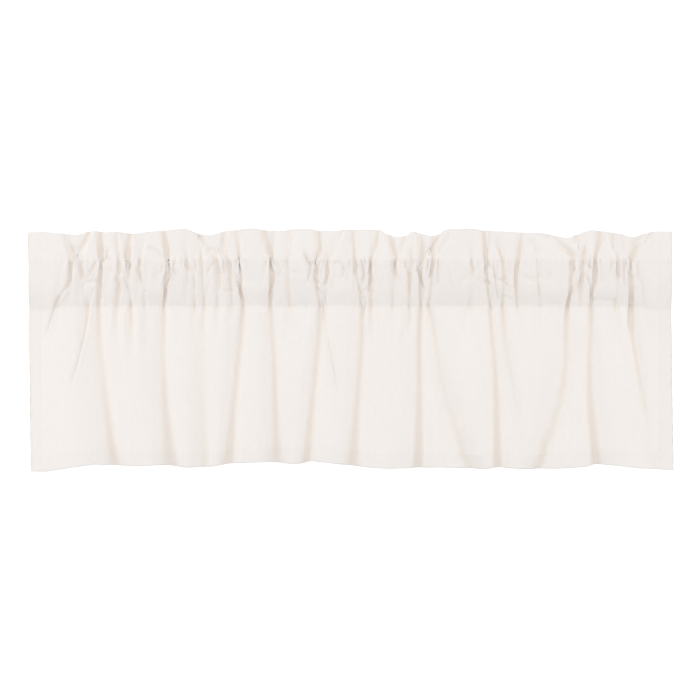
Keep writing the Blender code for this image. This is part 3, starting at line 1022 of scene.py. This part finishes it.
def side_hem_share():
    """1 in the columns that have a side hem behind them, 0 elsewhere, with a soft step between."""
    from_edge = np.minimum(ALONG, FLAT_WIDTH - ALONG)
    return eased((HEM + CORNER_BLEND - from_edge) / CORNER_BLEND)[:, None]


def at_row(grid, row):
    """The line of a grid at a row number that may lie between two rows."""
    below = int(min(max(row, 0), len(grid) - 2))
    return grid[below] + (row - below) * (grid[below + 1] - grid[below])


def front_row(down):
    """The row number, on the front, of a distance down the cloth."""
    return float(np.interp(-down, -DOWN[:TOP_ROW + 1], np.arange(TOP_ROW + 1)))


def turned_rows(front, out, turn, extra):
    """Rows of a turned edge, behind the front: the points of each row and the way they face."""
    rows = []
    for down, gap in turn:
        row = front_row(down)
        away = -at_row(out, row)
        rows.append((at_row(front, row) + away * (gap + extra), away))
    return rows


def whole_strip(points):
    """Points and normals of the strip with its bottom hem, its header's back and its facing's edge."""
    front = points[:TOP_ROW + 1]
    out = normals_of(front)
    extra = CORNER_EXTRA * side_hem_share()
    rows = turned_rows(front, out, BOTTOM_TURN, extra)
    rows += list(zip(front, out))
    for row in BEHIND_HEADER:
        rows.append((front[row] - out[row] * (LAYER_GAP + extra), -out[row]))
    wall = points[BACK_HEADER_ROW:BACK_POCKET_ROW + 1]
    behind = normals_of(wall)
    for row in BEHIND_POCKET:
        rows.append((wall[row] + behind[row] * (LAYER_GAP + extra), behind[row]))
    rows.append((front[POCKET_ROW] - out[POCKET_ROW] * (LAYER_GAP + extra), -out[POCKET_ROW]))
    rows += turned_rows(front, out, FACING_TURN, extra)
    return np.array([row[0] for row in rows]), np.array([row[1] for row in rows])


strip, strip_out = whole_strip(creased)
print("strip with hem and facing:", len(strip), "rows")

# %% [markdown]
# The side hems come next, as columns on both sides of the strip. One loop turns both: for the right side it
# works on the mirrored strip.

# %% The side hems
def with_side_hems(strip, out):
    """The strip with both sides turned in behind it, and the way each point faces."""
    turned = np.array(SIDE_TURN)
    columns = turned[:, 0] / COLUMN_STEP
    sides = []
    for flip in (False, True):
        points = strip[:, ::-1] if flip else strip
        facing = out[:, ::-1] if flip else out
        below = columns.astype(int)
        share = (columns - below)[None, :, None]
        place = points[:, below] * (1 - share) + points[:, below + 1] * share
        away = facing[:, below] * (1 - share) + facing[:, below + 1] * share
        sides.append((place - away * turned[None, :, 1:], -away))
    left, right = sides
    points = np.concatenate((left[0][:, ::-1], strip, right[0]), axis=1)
    faces = np.concatenate((left[1][:, ::-1], out, right[1]), axis=1)
    return points, faces


panel, panel_out = with_side_hems(strip, strip_out)
print("panel grid", panel.shape[0], "by", panel.shape[1])

# %% [markdown]
# ## The cloth as a mesh
#
# The grid becomes one thin sheet. A Solidify modifier could give it thickness, but cotton this thin shows
# none of its own: its turned hems make its edges thick. Its texture map is the cloth laid flat, in metres,
# so that the weave runs along the cut whatever the folds do.

# %% The cloth laid flat
def cloth_across():
    """The flat cloth's coordinate across, for every column of the panel."""
    turned = np.array([distance for distance, gap in SIDE_TURN])
    outward = running_total(np.abs(np.diff(turned, prepend=0)))[1:]
    return np.concatenate((-outward[::-1], ALONG, FLAT_WIDTH + outward))


def cloth_up():
    """The flat cloth's coordinate up from the bottom fold, for every row of the panel."""
    downs = [down for down, gap in BOTTOM_TURN]
    downs += list(DOWN[:TOP_ROW + 1])
    downs += [DOWN[row] for row in BEHIND_HEADER]
    downs += [DOWN[BACK_HEADER_ROW + row] for row in BEHIND_POCKET]
    downs += [POCKET_SEAM] + [down for down, gap in FACING_TURN]
    up = running_total(np.abs(np.diff(downs)))
    return up - up[len(BOTTOM_TURN)]


ACROSS = cloth_across()
UP = cloth_up()

# %% The sheet
def link(mesh, name):
    thing = bpy.data.objects.new(name, mesh)
    bpy.context.scene.collection.objects.link(thing)
    return thing


def sheet_mesh(name, points):
    """A smooth mesh from a grid of points, with the flat cloth as its texture map."""
    rows, columns = points.shape[:2]
    number = np.arange(rows * columns).reshape(rows, columns)
    corners = (number[:-1, :-1], number[:-1, 1:], number[1:, 1:], number[1:, :-1])
    faces = np.stack(corners, axis=2).reshape(-1, 4)
    mesh = bpy.data.meshes.new(name)
    mesh.from_pydata(points.reshape(-1, 3).tolist(), [], faces.tolist())
    flat = np.stack(np.meshgrid(ACROSS, UP), axis=2).reshape(-1, 2)
    flat_map = mesh.uv_layers.new(name="flat_cloth")
    flat_map.data.foreach_set("uv", flat[faces.ravel()].astype(np.float32).ravel())
    mesh.shade_smooth()
    return mesh


valance = link(sheet_mesh("valance_cloth", panel), "valance_cloth")
print(len(valance.data.polygons) * 2, "triangles in the cloth")

# %% [markdown]
# ## Hollows
#
# Light that falls into a fold passes from cloth to cloth before it comes out, and each pass makes it a
# little warmer and dimmer. The material paints that warm shade into the cloth's colour, so the mesh also
# carries how deep in a hollow each of its points lies, for the material to use. A point's depth is set
# against the mean depth of the columns on both sides of it.

# %% The hollows
HOLLOW_REACH = 8
HOLLOW_DEPTH = 3 * MM


def hollows(points):
    """How deep in a hollow each point lies: 0 on open cloth, 1 at the bottom of a fold."""
    depth = points[..., 1]
    padded = np.pad(depth, ((0, 0), (HOLLOW_REACH, HOLLOW_REACH)), mode="edge")
    columns = 2 * HOLLOW_REACH + 1
    window = np.ones(columns) / columns
    around = np.array([np.convolve(row, window, mode="valid") for row in padded])
    return np.clip((depth - around) / HOLLOW_DEPTH, 0, 1)


hollow = hollows(panel)
# The material paints a warm shade into the cloth's colour where this is high.
hollow_values = valance.data.attributes.new("hollow", "FLOAT", "POINT")
hollow_values.data.foreach_set("value", hollow.astype(np.float32).ravel())
print(f"{np.mean(hollow > 0):.0%} of the points lie in a hollow, {np.mean(hollow == 1):.0%} at its bottom")

# %% [markdown]
# ## Stitches
#
# Every seam is a plain lockstitch: on both faces a row of short lengths of thread, each dipping into the
# cloth at its ends. They are tiny, about 0.3 mm thick and 3 mm apart, but close up they make the seam. A
# dashed line in the cloth's colour would be lighter to draw. Modelled thread catches light and casts shade.

# %% One row of stitches
STITCH_PITCH = 3.0 * MM
STITCH_LENGTH = 2.4 * MM
THREAD_RADIUS = 0.16 * MM
STITCH_SIDES = 6
STITCH_STATIONS = np.array((0, 0.2, 0.8, 1.0))
STITCH_LIFT = np.array((-0.12, 0.08, 0.08, -0.12)) * MM
STITCH_THICKNESS = np.array((0.3, 1.0, 1.0, 0.3))


def on_panel(rows, columns):
    """Points of the panel, and the way they face, at row and column numbers that may be fractions."""
    r = np.clip(rows.astype(int), 0, panel.shape[0] - 2)
    c = np.clip(columns.astype(int), 0, panel.shape[1] - 2)
    v = (rows - r)[..., None]
    u = (columns - c)[..., None]
    found = []
    for grid in (panel, panel_out):
        lower = grid[r, c] * (1 - u) + grid[r, c + 1] * u
        upper = grid[r + 1, c] * (1 - u) + grid[r + 1, c + 1] * u
        found.append(lower * (1 - v) + upper * v)
    return found


def stitch_row(rows, columns):
    """Stitches along a line on the panel, given as row and column numbers of their stations."""
    points, out = on_panel(rows, columns)
    out = out / np.linalg.norm(out, axis=-1, keepdims=True)
    points = points + out * STITCH_LIFT[None, :, None]
    forward = np.gradient(points, axis=1)
    sideways = np.cross(forward, out)
    sideways /= np.linalg.norm(sideways, axis=-1, keepdims=True)
    upward = np.cross(sideways, forward)
    upward /= np.linalg.norm(upward, axis=-1, keepdims=True)
    turn = np.arange(STITCH_SIDES) * 2 * np.pi / STITCH_SIDES
    radius = (THREAD_RADIUS * STITCH_THICKNESS)[None, :, None, None]
    ring = np.cos(turn)[None, None, :, None] * sideways[:, :, None]
    ring = ring + np.sin(turn)[None, None, :, None] * upward[:, :, None]
    return points[:, :, None] + radius * ring


print("a stitch is", round(STITCH_LENGTH / MM, 1), "mm long, one every", round(STITCH_PITCH / MM, 1), "mm")

# %% [markdown]
# Seams run across the window or down the cloth. Both are given on the flat cloth and found on the grid.

# %% Seams
FIRST_COLUMN = len(SIDE_TURN)
EDGE_STITCH = 2 * MM


def across_seam(row):
    """A seam across the window, at one row number."""
    count = int(FLAT_WIDTH / STITCH_PITCH)
    starts = (np.arange(count) + 0.5) * FLAT_WIDTH / count - STITCH_LENGTH / 2
    along = starts[:, None] + STITCH_STATIONS[None, :] * STITCH_LENGTH
    columns = FIRST_COLUMN + along / COLUMN_STEP
    return stitch_row(np.full_like(columns, row), columns)


def down_seam(column, first, last):
    """A seam down the cloth at one column number, between two heights on the flat cloth."""
    count = int((last - first) / STITCH_PITCH)
    starts = first + np.arange(count) * STITCH_PITCH
    heights = starts[:, None] + STITCH_STATIONS[None, :] * STITCH_LENGTH
    rows = np.interp(heights, UP, np.arange(len(UP)))
    return stitch_row(rows, np.full_like(rows, column))


def row_up(height):
    """The row number at a height on the flat cloth."""
    return float(np.interp(height, UP, np.arange(len(UP))))


def column_at(place):
    """The column number at a place across the flat cloth."""
    return float(np.interp(place, ACROSS, np.arange(len(ACROSS))))


seam_row = row_up(DROP - POCKET_SEAM)
print("the bottom fold is row", round(row_up(0)), "and the pocket seam is row", round(seam_row))

# %% [markdown]
# All stitches become one mesh, so that over three thousand short lengths of thread stay one object.

# %% The thread
def stitch_mesh(name, stitches):
    """One mesh of all stitches, each a short tube of thread."""
    stitches = np.concatenate(stitches)
    count, stations, sides = stitches.shape[:3]
    number = np.arange(stitches.size // 3).reshape(count, stations, sides)
    turned = np.roll(number, -1, axis=2)
    corners = (number[:, :-1], turned[:, :-1], turned[:, 1:], number[:, 1:])
    faces = np.stack(corners, axis=3).reshape(-1, 4)
    mesh = bpy.data.meshes.new(name)
    mesh.from_pydata(stitches.reshape(-1, 3).tolist(), [], faces.tolist())
    mesh.shade_smooth()
    return mesh


SEAM_UP = DROP - POCKET_SEAM
HEADER_SEAM_UP = DROP - HEADER_SEAM
TOP_UP = DROP
cross_seams = [
    across_seam(row_up(SEAM_UP)),
    across_seam(row_up(2 * TOP_UP - SEAM_UP)),
    across_seam(row_up(HEADER_SEAM_UP)),
    across_seam(row_up(2 * TOP_UP - HEADER_SEAM_UP)),
    across_seam(row_up(HEM - EDGE_STITCH)),
    across_seam(row_up(EDGE_STITCH - HEM)),
]
side_seams = []
for inward in (HEM - EDGE_STITCH, FLAT_WIDTH - HEM + EDGE_STITCH):
    side_seams.append(down_seam(column_at(inward), 0, UP[-1]))
for outward in (EDGE_STITCH - HEM, FLAT_WIDTH + HEM - EDGE_STITCH):
    side_seams.append(down_seam(column_at(outward), HEM, SEAM_UP))
thread = link(stitch_mesh("sewing_thread", cross_seams + side_seams), "sewing_thread")
print(len(thread.data.polygons) * 2, "triangles in the thread")

# %% [markdown]
# ## What the cloth is made of
#
# Natural cotton in a plain weave: each thread passes over one and under the next. The threads are spun
# unevenly, so here and there a thicker length, a slub, runs along a thread. Unbleached cotton is a warm
# white. Some light comes through it, so a single layer glows a little and a double one looks deeper.
# The weave and the slubs are node groups, as more than one material can use them.

# %% Node helpers
def new_group(name, inputs, outputs):
    """An empty node group with value or vector inputs and value outputs."""
    group = bpy.data.node_groups.new(name, "ShaderNodeTree")
    for label, kind in inputs:
        group.interface.new_socket(label, in_out="INPUT", socket_type=kind)
    for label in outputs:
        group.interface.new_socket(label, in_out="OUTPUT", socket_type="NodeSocketFloat")
    start = group.nodes.new("NodeGroupInput")
    end = group.nodes.new("NodeGroupOutput")
    return group, start, end


def feed(tree, socket, value):
    """Plugs a socket, or sets it where the value is a plain number or colour."""
    if isinstance(value, bpy.types.NodeSocket):
        tree.links.new(value, socket)
    else:
        socket.default_value = value


def maths(tree, operation, *values):
    """A Math node; returns its result."""
    node = tree.nodes.new("ShaderNodeMath")
    node.operation = operation
    for socket, value in zip(node.inputs, values):
        feed(tree, socket, value)
    return node.outputs[0]


print("node helpers are ready")

# %% [markdown]
# ### Plain weave
#
# Two crossing sets of round threads. Where warp and weft trade places, one set's threads lie on top, so
# the height alternates like a chequerboard of small ovals. Modelled one by one, the threads would be
# millions of faces. So their height is worked out from sine waves, wherever the picture needs it.

# %% Plain weave
THREADS_PER_METRE = 1900.0
LONG_OVAL = 0.35
SHORT_OVAL = 1.0


def make_weave():
    group, start, end = new_group("plain_weave", [("Cloth", "NodeSocketVector")], ["Height"])
    split = group.nodes.new("ShaderNodeSeparateXYZ")
    group.links.new(start.outputs["Cloth"], split.inputs[0])
    waves = []
    for axis in ("X", "Y"):
        turns = maths(group, "MULTIPLY", split.outputs[axis], THREADS_PER_METRE * math.pi)
        waves.append(maths(group, "SINE", turns))
    across = maths(group, "ABSOLUTE", waves[0])
    along = maths(group, "ABSOLUTE", waves[1])
    warp_over = maths(group, "GREATER_THAN", maths(group, "MULTIPLY", waves[0], waves[1]), 0.0)
    warp_long = maths(group, "POWER", along, LONG_OVAL)
    warp_side = maths(group, "POWER", across, SHORT_OVAL)
    weft_long = maths(group, "POWER", across, LONG_OVAL)
    weft_side = maths(group, "POWER", along, SHORT_OVAL)
    warp = maths(group, "MULTIPLY", warp_long, warp_side)
    weft = maths(group, "MULTIPLY", weft_long, weft_side)
    difference = maths(group, "SUBTRACT", warp, weft)
    highest = maths(group, "MULTIPLY_ADD", difference, warp_over, weft)
    group.links.new(highest, end.inputs["Height"])
    return group


weave = make_weave()
print("threads per metre", THREADS_PER_METRE, "from", len(weave.nodes), "nodes")

# %% [markdown]
# ### Slubs and the tone of raw cotton
#
# Noise drawn out long and thin along the weft, and again along the warp, gives the thick places. A broad,
# faint cloudiness on top is the uneven tone of cloth that hasn't been dyed.

# %% Noise and ranges
def noise(tree, vector, per_metre, detail):
    """A Noise Texture with its own scale on each axis; returns its value."""
    mapping = tree.nodes.new("ShaderNodeMapping")
    mapping.inputs["Scale"].default_value = per_metre
    tree.links.new(vector, mapping.inputs["Vector"])
    node = tree.nodes.new("ShaderNodeTexNoise")
    node.inputs["Scale"].default_value = 1.0
    node.inputs["Detail"].default_value = detail
    tree.links.new(mapping.outputs["Vector"], node.inputs["Vector"])
    return node.outputs["Fac"]


def remap(tree, value, start, end, new_start, new_end):
    """A Map Range node that eases from one range to another."""
    node = tree.nodes.new("ShaderNodeMapRange")
    node.interpolation_type = "SMOOTHSTEP"
    feed(tree, node.inputs["Value"], value)
    node.inputs["From Min"].default_value = start
    node.inputs["From Max"].default_value = end
    node.inputs["To Min"].default_value = new_start
    node.inputs["To Max"].default_value = new_end
    return node.outputs["Result"]


print("noise and ranges are ready")

# %% Slubs
ALONG_THREAD = 45
ACROSS_THREAD = 900
CLOUDS = 30
SLUB_DETAIL = 2.0
CLOUD_DETAIL = 3.0
THIN = 0.42
THICK = 0.72


def make_slubs():
    group, start, end = new_group("slubs", [("Cloth", "NodeSocketVector")], ["Weft", "Warp", "Cloud"])
    cloth = start.outputs["Cloth"]
    weft = noise(group, cloth, (ALONG_THREAD, ACROSS_THREAD, 1), SLUB_DETAIL)
    warp = noise(group, cloth, (ACROSS_THREAD, ALONG_THREAD, 1), SLUB_DETAIL)
    cloud = noise(group, cloth, (CLOUDS, CLOUDS, 1), CLOUD_DETAIL)
    group.links.new(remap(group, weft, THIN, THICK, 0, 1), end.inputs["Weft"])
    group.links.new(remap(group, warp, THIN, THICK, 0, 1), end.inputs["Warp"])
    group.links.new(cloud, end.inputs["Cloud"])
    return group


slubs = make_slubs()
print("slubs", round(1000 / ALONG_THREAD), "mm long, from", len(slubs.nodes), "nodes")

# %% [markdown]
# ### Colour of the cotton
#
# Three things change the colour over the cloth. The low places between threads, the slubs and the clouds
# are a little deeper. The pocket gets a painted shade, deepest near its lower seam, where its walls close
# behind it and the light through the front wall is lost inside. And in the hollows a warm painted shade
# stands for light passed from cloth to cloth.

# %% Mixed colours
COTTON = (0.954, 0.917, 0.888, 1)
COTTON_DEEP = (0.908, 0.858, 0.822, 1)
LOW_PLACES_SHARE = 0.35
SLUB_SHARE = 0.22
CLOUD_SHARE = 0.3


def mixed(tree, way, first, second, share):
    """A Mix node for colours, each a socket or a plain colour; returns its result."""
    node = tree.nodes.new("ShaderNodeMix")
    node.data_type = "RGBA"
    node.blend_type = way
    feed(tree, node.inputs["A"], first)
    feed(tree, node.inputs["B"], second)
    tree.links.new(share, node.inputs["Factor"])
    return node.outputs["Result"]


def woven_colour(tree, threads, slub, cloud):
    """Cotton's colour, deeper in the low places of the weave, on slubs and in clouds."""
    depth = maths(tree, "MULTIPLY", maths(tree, "SUBTRACT", 1.0, threads), LOW_PLACES_SHARE)
    depth = maths(tree, "ADD", depth, maths(tree, "MULTIPLY", slub, SLUB_SHARE))
    depth = maths(tree, "ADD", depth, maths(tree, "MULTIPLY", cloud, CLOUD_SHARE))
    return mixed(tree, "MIX", COTTON, COTTON_DEEP, depth)


print("cotton is", COTTON[:3], "and in its low places up to", COTTON_DEEP[:3])

# %% Painted shade in the pocket and the hollows
TONE_EDGE = 0.6 * MM
# Painted shade: between its seams the pocket's colour is multiplied towards this grey, by a share from least
# under the header seam to most near the lower seam.
POCKET_PAINTED_SHADE = (0.90, 0.895, 0.895, 1)
POCKET_SHADE_LEAST = 0.1
POCKET_SHADE_MOST = 0.25
# Painted shade: in the hollows the colour is multiplied towards this warm tone, standing for light passed
# from cloth to cloth.
HOLLOW_PAINTED_SHADE = (1, 0.967, 0.928, 1)


def painted_shade_in_pocket(tree, colour, flat):
    """The colour with a painted shade between the two seams, deepest near the lower one; flat holds the
    cloth's own coordinates.
    """
    split = tree.nodes.new("ShaderNodeSeparateXYZ")
    tree.links.new(flat, split.inputs[0])
    up = split.outputs["Y"]
    above_seam = remap(tree, up, SEAM_UP - TONE_EDGE, SEAM_UP + TONE_EDGE, 0, 1)
    below_header = remap(tree, up, HEADER_SEAM_UP - TONE_EDGE, HEADER_SEAM_UP + TONE_EDGE, 1, 0)
    in_pocket = maths(tree, "MULTIPLY", above_seam, below_header)
    # The share of painted shade, most in the pocket's lower part.
    deep = remap(tree, up, SEAM_UP + POCKET / 4, HEADER_SEAM_UP, POCKET_SHADE_MOST, POCKET_SHADE_LEAST)
    return mixed(tree, "MULTIPLY", colour, POCKET_PAINTED_SHADE, maths(tree, "MULTIPLY", in_pocket, deep))


def painted_shade_in_hollows(tree, colour):
    """The colour with a warm painted shade where the mesh says that the cloth lies in a hollow."""
    hollow_shade_share = tree.nodes.new("ShaderNodeAttribute")
    hollow_shade_share.attribute_name = "hollow"
    return mixed(tree, "MULTIPLY", colour, HOLLOW_PAINTED_SHADE, hollow_shade_share.outputs["Fac"])


print(f"the pocket's tone starts {SEAM_UP:.3f} m up and ends {HEADER_SEAM_UP:.3f} m up")

# %% [markdown]
# ### Cotton
#
# A rough white surface with a little fuzz on it, raised by its threads and slubs. A small share of light
# comes through from behind, which a Translucent shader mixed with the surface does more plainly than glass
# settings would.

# %% Cotton material
COTTON_ROUGHNESS = 0.9
COTTON_GLOSS = 0.3
FUZZ = 0.15
FUZZ_ROUGHNESS = 0.5
THREAD_HEIGHT = 0.5
WEAVE_STRENGTH = 0.5
WEAVE_RELIEF = 0.12 * MM
COTTON_GLOW = (0.92, 0.86, 0.78, 1)
LET_THROUGH = 0.02


def new_material(name):
    """A material, its node tree and its surface shader."""
    material = bpy.data.materials.new(name)
    material.use_nodes = True
    return material, material.node_tree, material.node_tree.nodes["Principled BSDF"]


def grouped(tree, group, vector):
    """A node group placed in a tree, fed with the cloth's own coordinates; returns its outputs."""
    node = tree.nodes.new("ShaderNodeGroup")
    node.node_tree = group
    tree.links.new(vector, node.inputs["Cloth"])
    return node.outputs


def raise_surface(tree, surface, height, strength, relief):
    """Feeds a height to a surface's normal through a Bump node."""
    bump = tree.nodes.new("ShaderNodeBump")
    bump.inputs["Strength"].default_value = strength
    bump.inputs["Distance"].default_value = relief
    tree.links.new(height, bump.inputs["Height"])
    tree.links.new(bump.outputs["Normal"], surface.inputs["Normal"])


def make_cotton():
    material, tree, surface = new_material("natural_cotton")
    flat_map = tree.nodes.new("ShaderNodeUVMap")
    flat_map.uv_map = "flat_cloth"
    flat = flat_map.outputs["UV"]
    threads = grouped(tree, weave, flat)["Height"]
    thick = grouped(tree, slubs, flat)
    slub = maths(tree, "ADD", thick["Weft"], thick["Warp"])
    colour = woven_colour(tree, threads, slub, thick["Cloud"])
    # Here the painted shade of the pocket and of the hollows goes into the base colour.
    colour = painted_shade_in_hollows(tree, painted_shade_in_pocket(tree, colour, flat))
    tree.links.new(colour, surface.inputs["Base Color"])
    surface.inputs["Roughness"].default_value = COTTON_ROUGHNESS
    surface.inputs["Specular IOR Level"].default_value = COTTON_GLOSS
    surface.inputs["Sheen Weight"].default_value = FUZZ
    surface.inputs["Sheen Roughness"].default_value = FUZZ_ROUGHNESS
    height = maths(tree, "ADD", maths(tree, "MULTIPLY", threads, THREAD_HEIGHT), slub)
    raise_surface(tree, surface, height, WEAVE_STRENGTH, WEAVE_RELIEF)
    glow = tree.nodes.new("ShaderNodeBsdfTranslucent")
    glow.inputs["Color"].default_value = COTTON_GLOW
    both = tree.nodes.new("ShaderNodeMixShader")
    both.inputs["Fac"].default_value = LET_THROUGH
    tree.links.new(surface.outputs["BSDF"], both.inputs[1])
    tree.links.new(glow.outputs["BSDF"], both.inputs[2])
    tree.links.new(both.outputs["Shader"], tree.nodes["Material Output"].inputs["Surface"])
    return material


cotton = make_cotton()
valance.data.materials.append(cotton)
print(len(cotton.node_tree.nodes), "nodes in the cotton")

# %% [markdown]
# ### Sewing thread
#
# Cotton thread of nearly the cloth's own colour, a little smoother than the cloth. Fine slanting bands
# stand for its twist.

# %% Thread material
THREAD_COLOUR = (0.87, 0.835, 0.79, 1)
THREAD_ROUGHNESS = 0.7
THREAD_GLOSS = 0.4
TWIST_SCALE = 900.0
TWIST_STRENGTH = 0.4
TWIST_RELIEF = 0.05 * MM


def make_thread():
    material, tree, surface = new_material("cotton_thread")
    surface.inputs["Base Color"].default_value = THREAD_COLOUR
    surface.inputs["Roughness"].default_value = THREAD_ROUGHNESS
    surface.inputs["Specular IOR Level"].default_value = THREAD_GLOSS
    place = tree.nodes.new("ShaderNodeTexCoord")
    twist = tree.nodes.new("ShaderNodeTexWave")
    twist.wave_type = "BANDS"
    twist.bands_direction = "DIAGONAL"
    twist.inputs["Scale"].default_value = TWIST_SCALE
    tree.links.new(place.outputs["Object"], twist.inputs["Vector"])
    raise_surface(tree, surface, twist.outputs["Fac"], TWIST_STRENGTH, TWIST_RELIEF)
    return material


thread.data.materials.append(make_thread())
print("thread colour", THREAD_COLOUR[:3])

# %% [markdown]
# ## The studio
#
# The picture is a product photograph: white all round, with soft light from every side. An even sky gives
# most of the light. Two nearly equal lamps stand far out to the left and right, at the valance's height,
# where they light the flanks of the folds and leave the valleys to the sky. A weaker lamp stands in front,
# a little to the left. The wall behind glows, so that it washes out to pure white.

# %% Floor and wall
FLOOR = -1700 * MM
WALL = 2600 * MM
FRONT = -3500 * MM
HALF_WIDTH = 4000 * MM
WALL_TOP = 2600 * MM
FLOOR_TONE = 0.65
FLOOR_GLOW = 0.0
WALL_TONE = 0.93
WALL_GLOW = 0.3
WHITE = (1, 1, 1, 1)


def make_stage(name, corners, tone, glow):
    """A flat sheet of pale paper, behind or below the valance."""
    mesh = bpy.data.meshes.new(name)
    mesh.from_pydata(corners, [], [(0, 1, 2, 3)])
    material, _, surface = new_material(name)
    surface.inputs["Base Color"].default_value = (tone, tone, tone, 1)
    surface.inputs["Roughness"].default_value = 1.0
    surface.inputs["Emission Color"].default_value = WHITE
    surface.inputs["Emission Strength"].default_value = glow
    mesh.materials.append(material)
    link(mesh, name)


def make_floor():
    across = ((-HALF_WIDTH, FRONT), (HALF_WIDTH, FRONT), (HALF_WIDTH, WALL), (-HALF_WIDTH, WALL))
    make_stage("floor", [(x, y, FLOOR) for x, y in across], FLOOR_TONE, FLOOR_GLOW)


def make_wall():
    across = ((-HALF_WIDTH, FLOOR), (HALF_WIDTH, FLOOR), (HALF_WIDTH, WALL_TOP), (-HALF_WIDTH, WALL_TOP))
    make_stage("wall", [(x, WALL, z) for x, z in across], WALL_TONE, WALL_GLOW)


make_floor()
make_wall()
print("the wall stands", WALL, "m behind the valance")

# %% Sky and lamps
SKY = 0.85
# Metres from the valance's top middle, the lamp's width in metres, and its power in watts.
Lamp = namedtuple("Lamp", "name place width watts")
LAMPS = (
    Lamp("left_light", (-3.4, -1.56, 0.1), 1.4, 18),
    Lamp("right_light", (3.4, -1.56, 0.1), 1.4, 17),
    Lamp("front_light", (-0.6, -3.0, 0.7), 1.6, 9),
)


def make_sky(strength):
    world = bpy.data.worlds.new("soft_light")
    bpy.context.scene.world = world
    world.use_nodes = True
    background = world.node_tree.nodes["Background"]
    background.inputs["Color"].default_value = WHITE
    background.inputs["Strength"].default_value = strength


def make_lamp(name, place, width, watts):
    """A round lamp that faces the valance."""
    data = bpy.data.lights.new(name, "AREA")
    data.shape = "DISK"
    data.size = width
    data.energy = watts
    lamp = bpy.data.objects.new(name, data)
    lamp.location = place
    lamp.rotation_euler = (PICTURE_CENTRE - Vector(place)).to_track_quat("-Z", "Y").to_euler()
    bpy.context.scene.collection.objects.link(lamp)


bpy.context.scene.view_settings.view_transform = "Standard"
make_sky(SKY)
for lamp in LAMPS:
    make_lamp(*lamp)
print("an even sky of", SKY, "and", len(LAMPS), "lamps")

# %% [markdown]
# ## Handing over
#
# The sheet and its thread stand for the solid.

# %% Finish
for piece in (valance, thread):
    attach(piece, "root")
    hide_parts("valance")
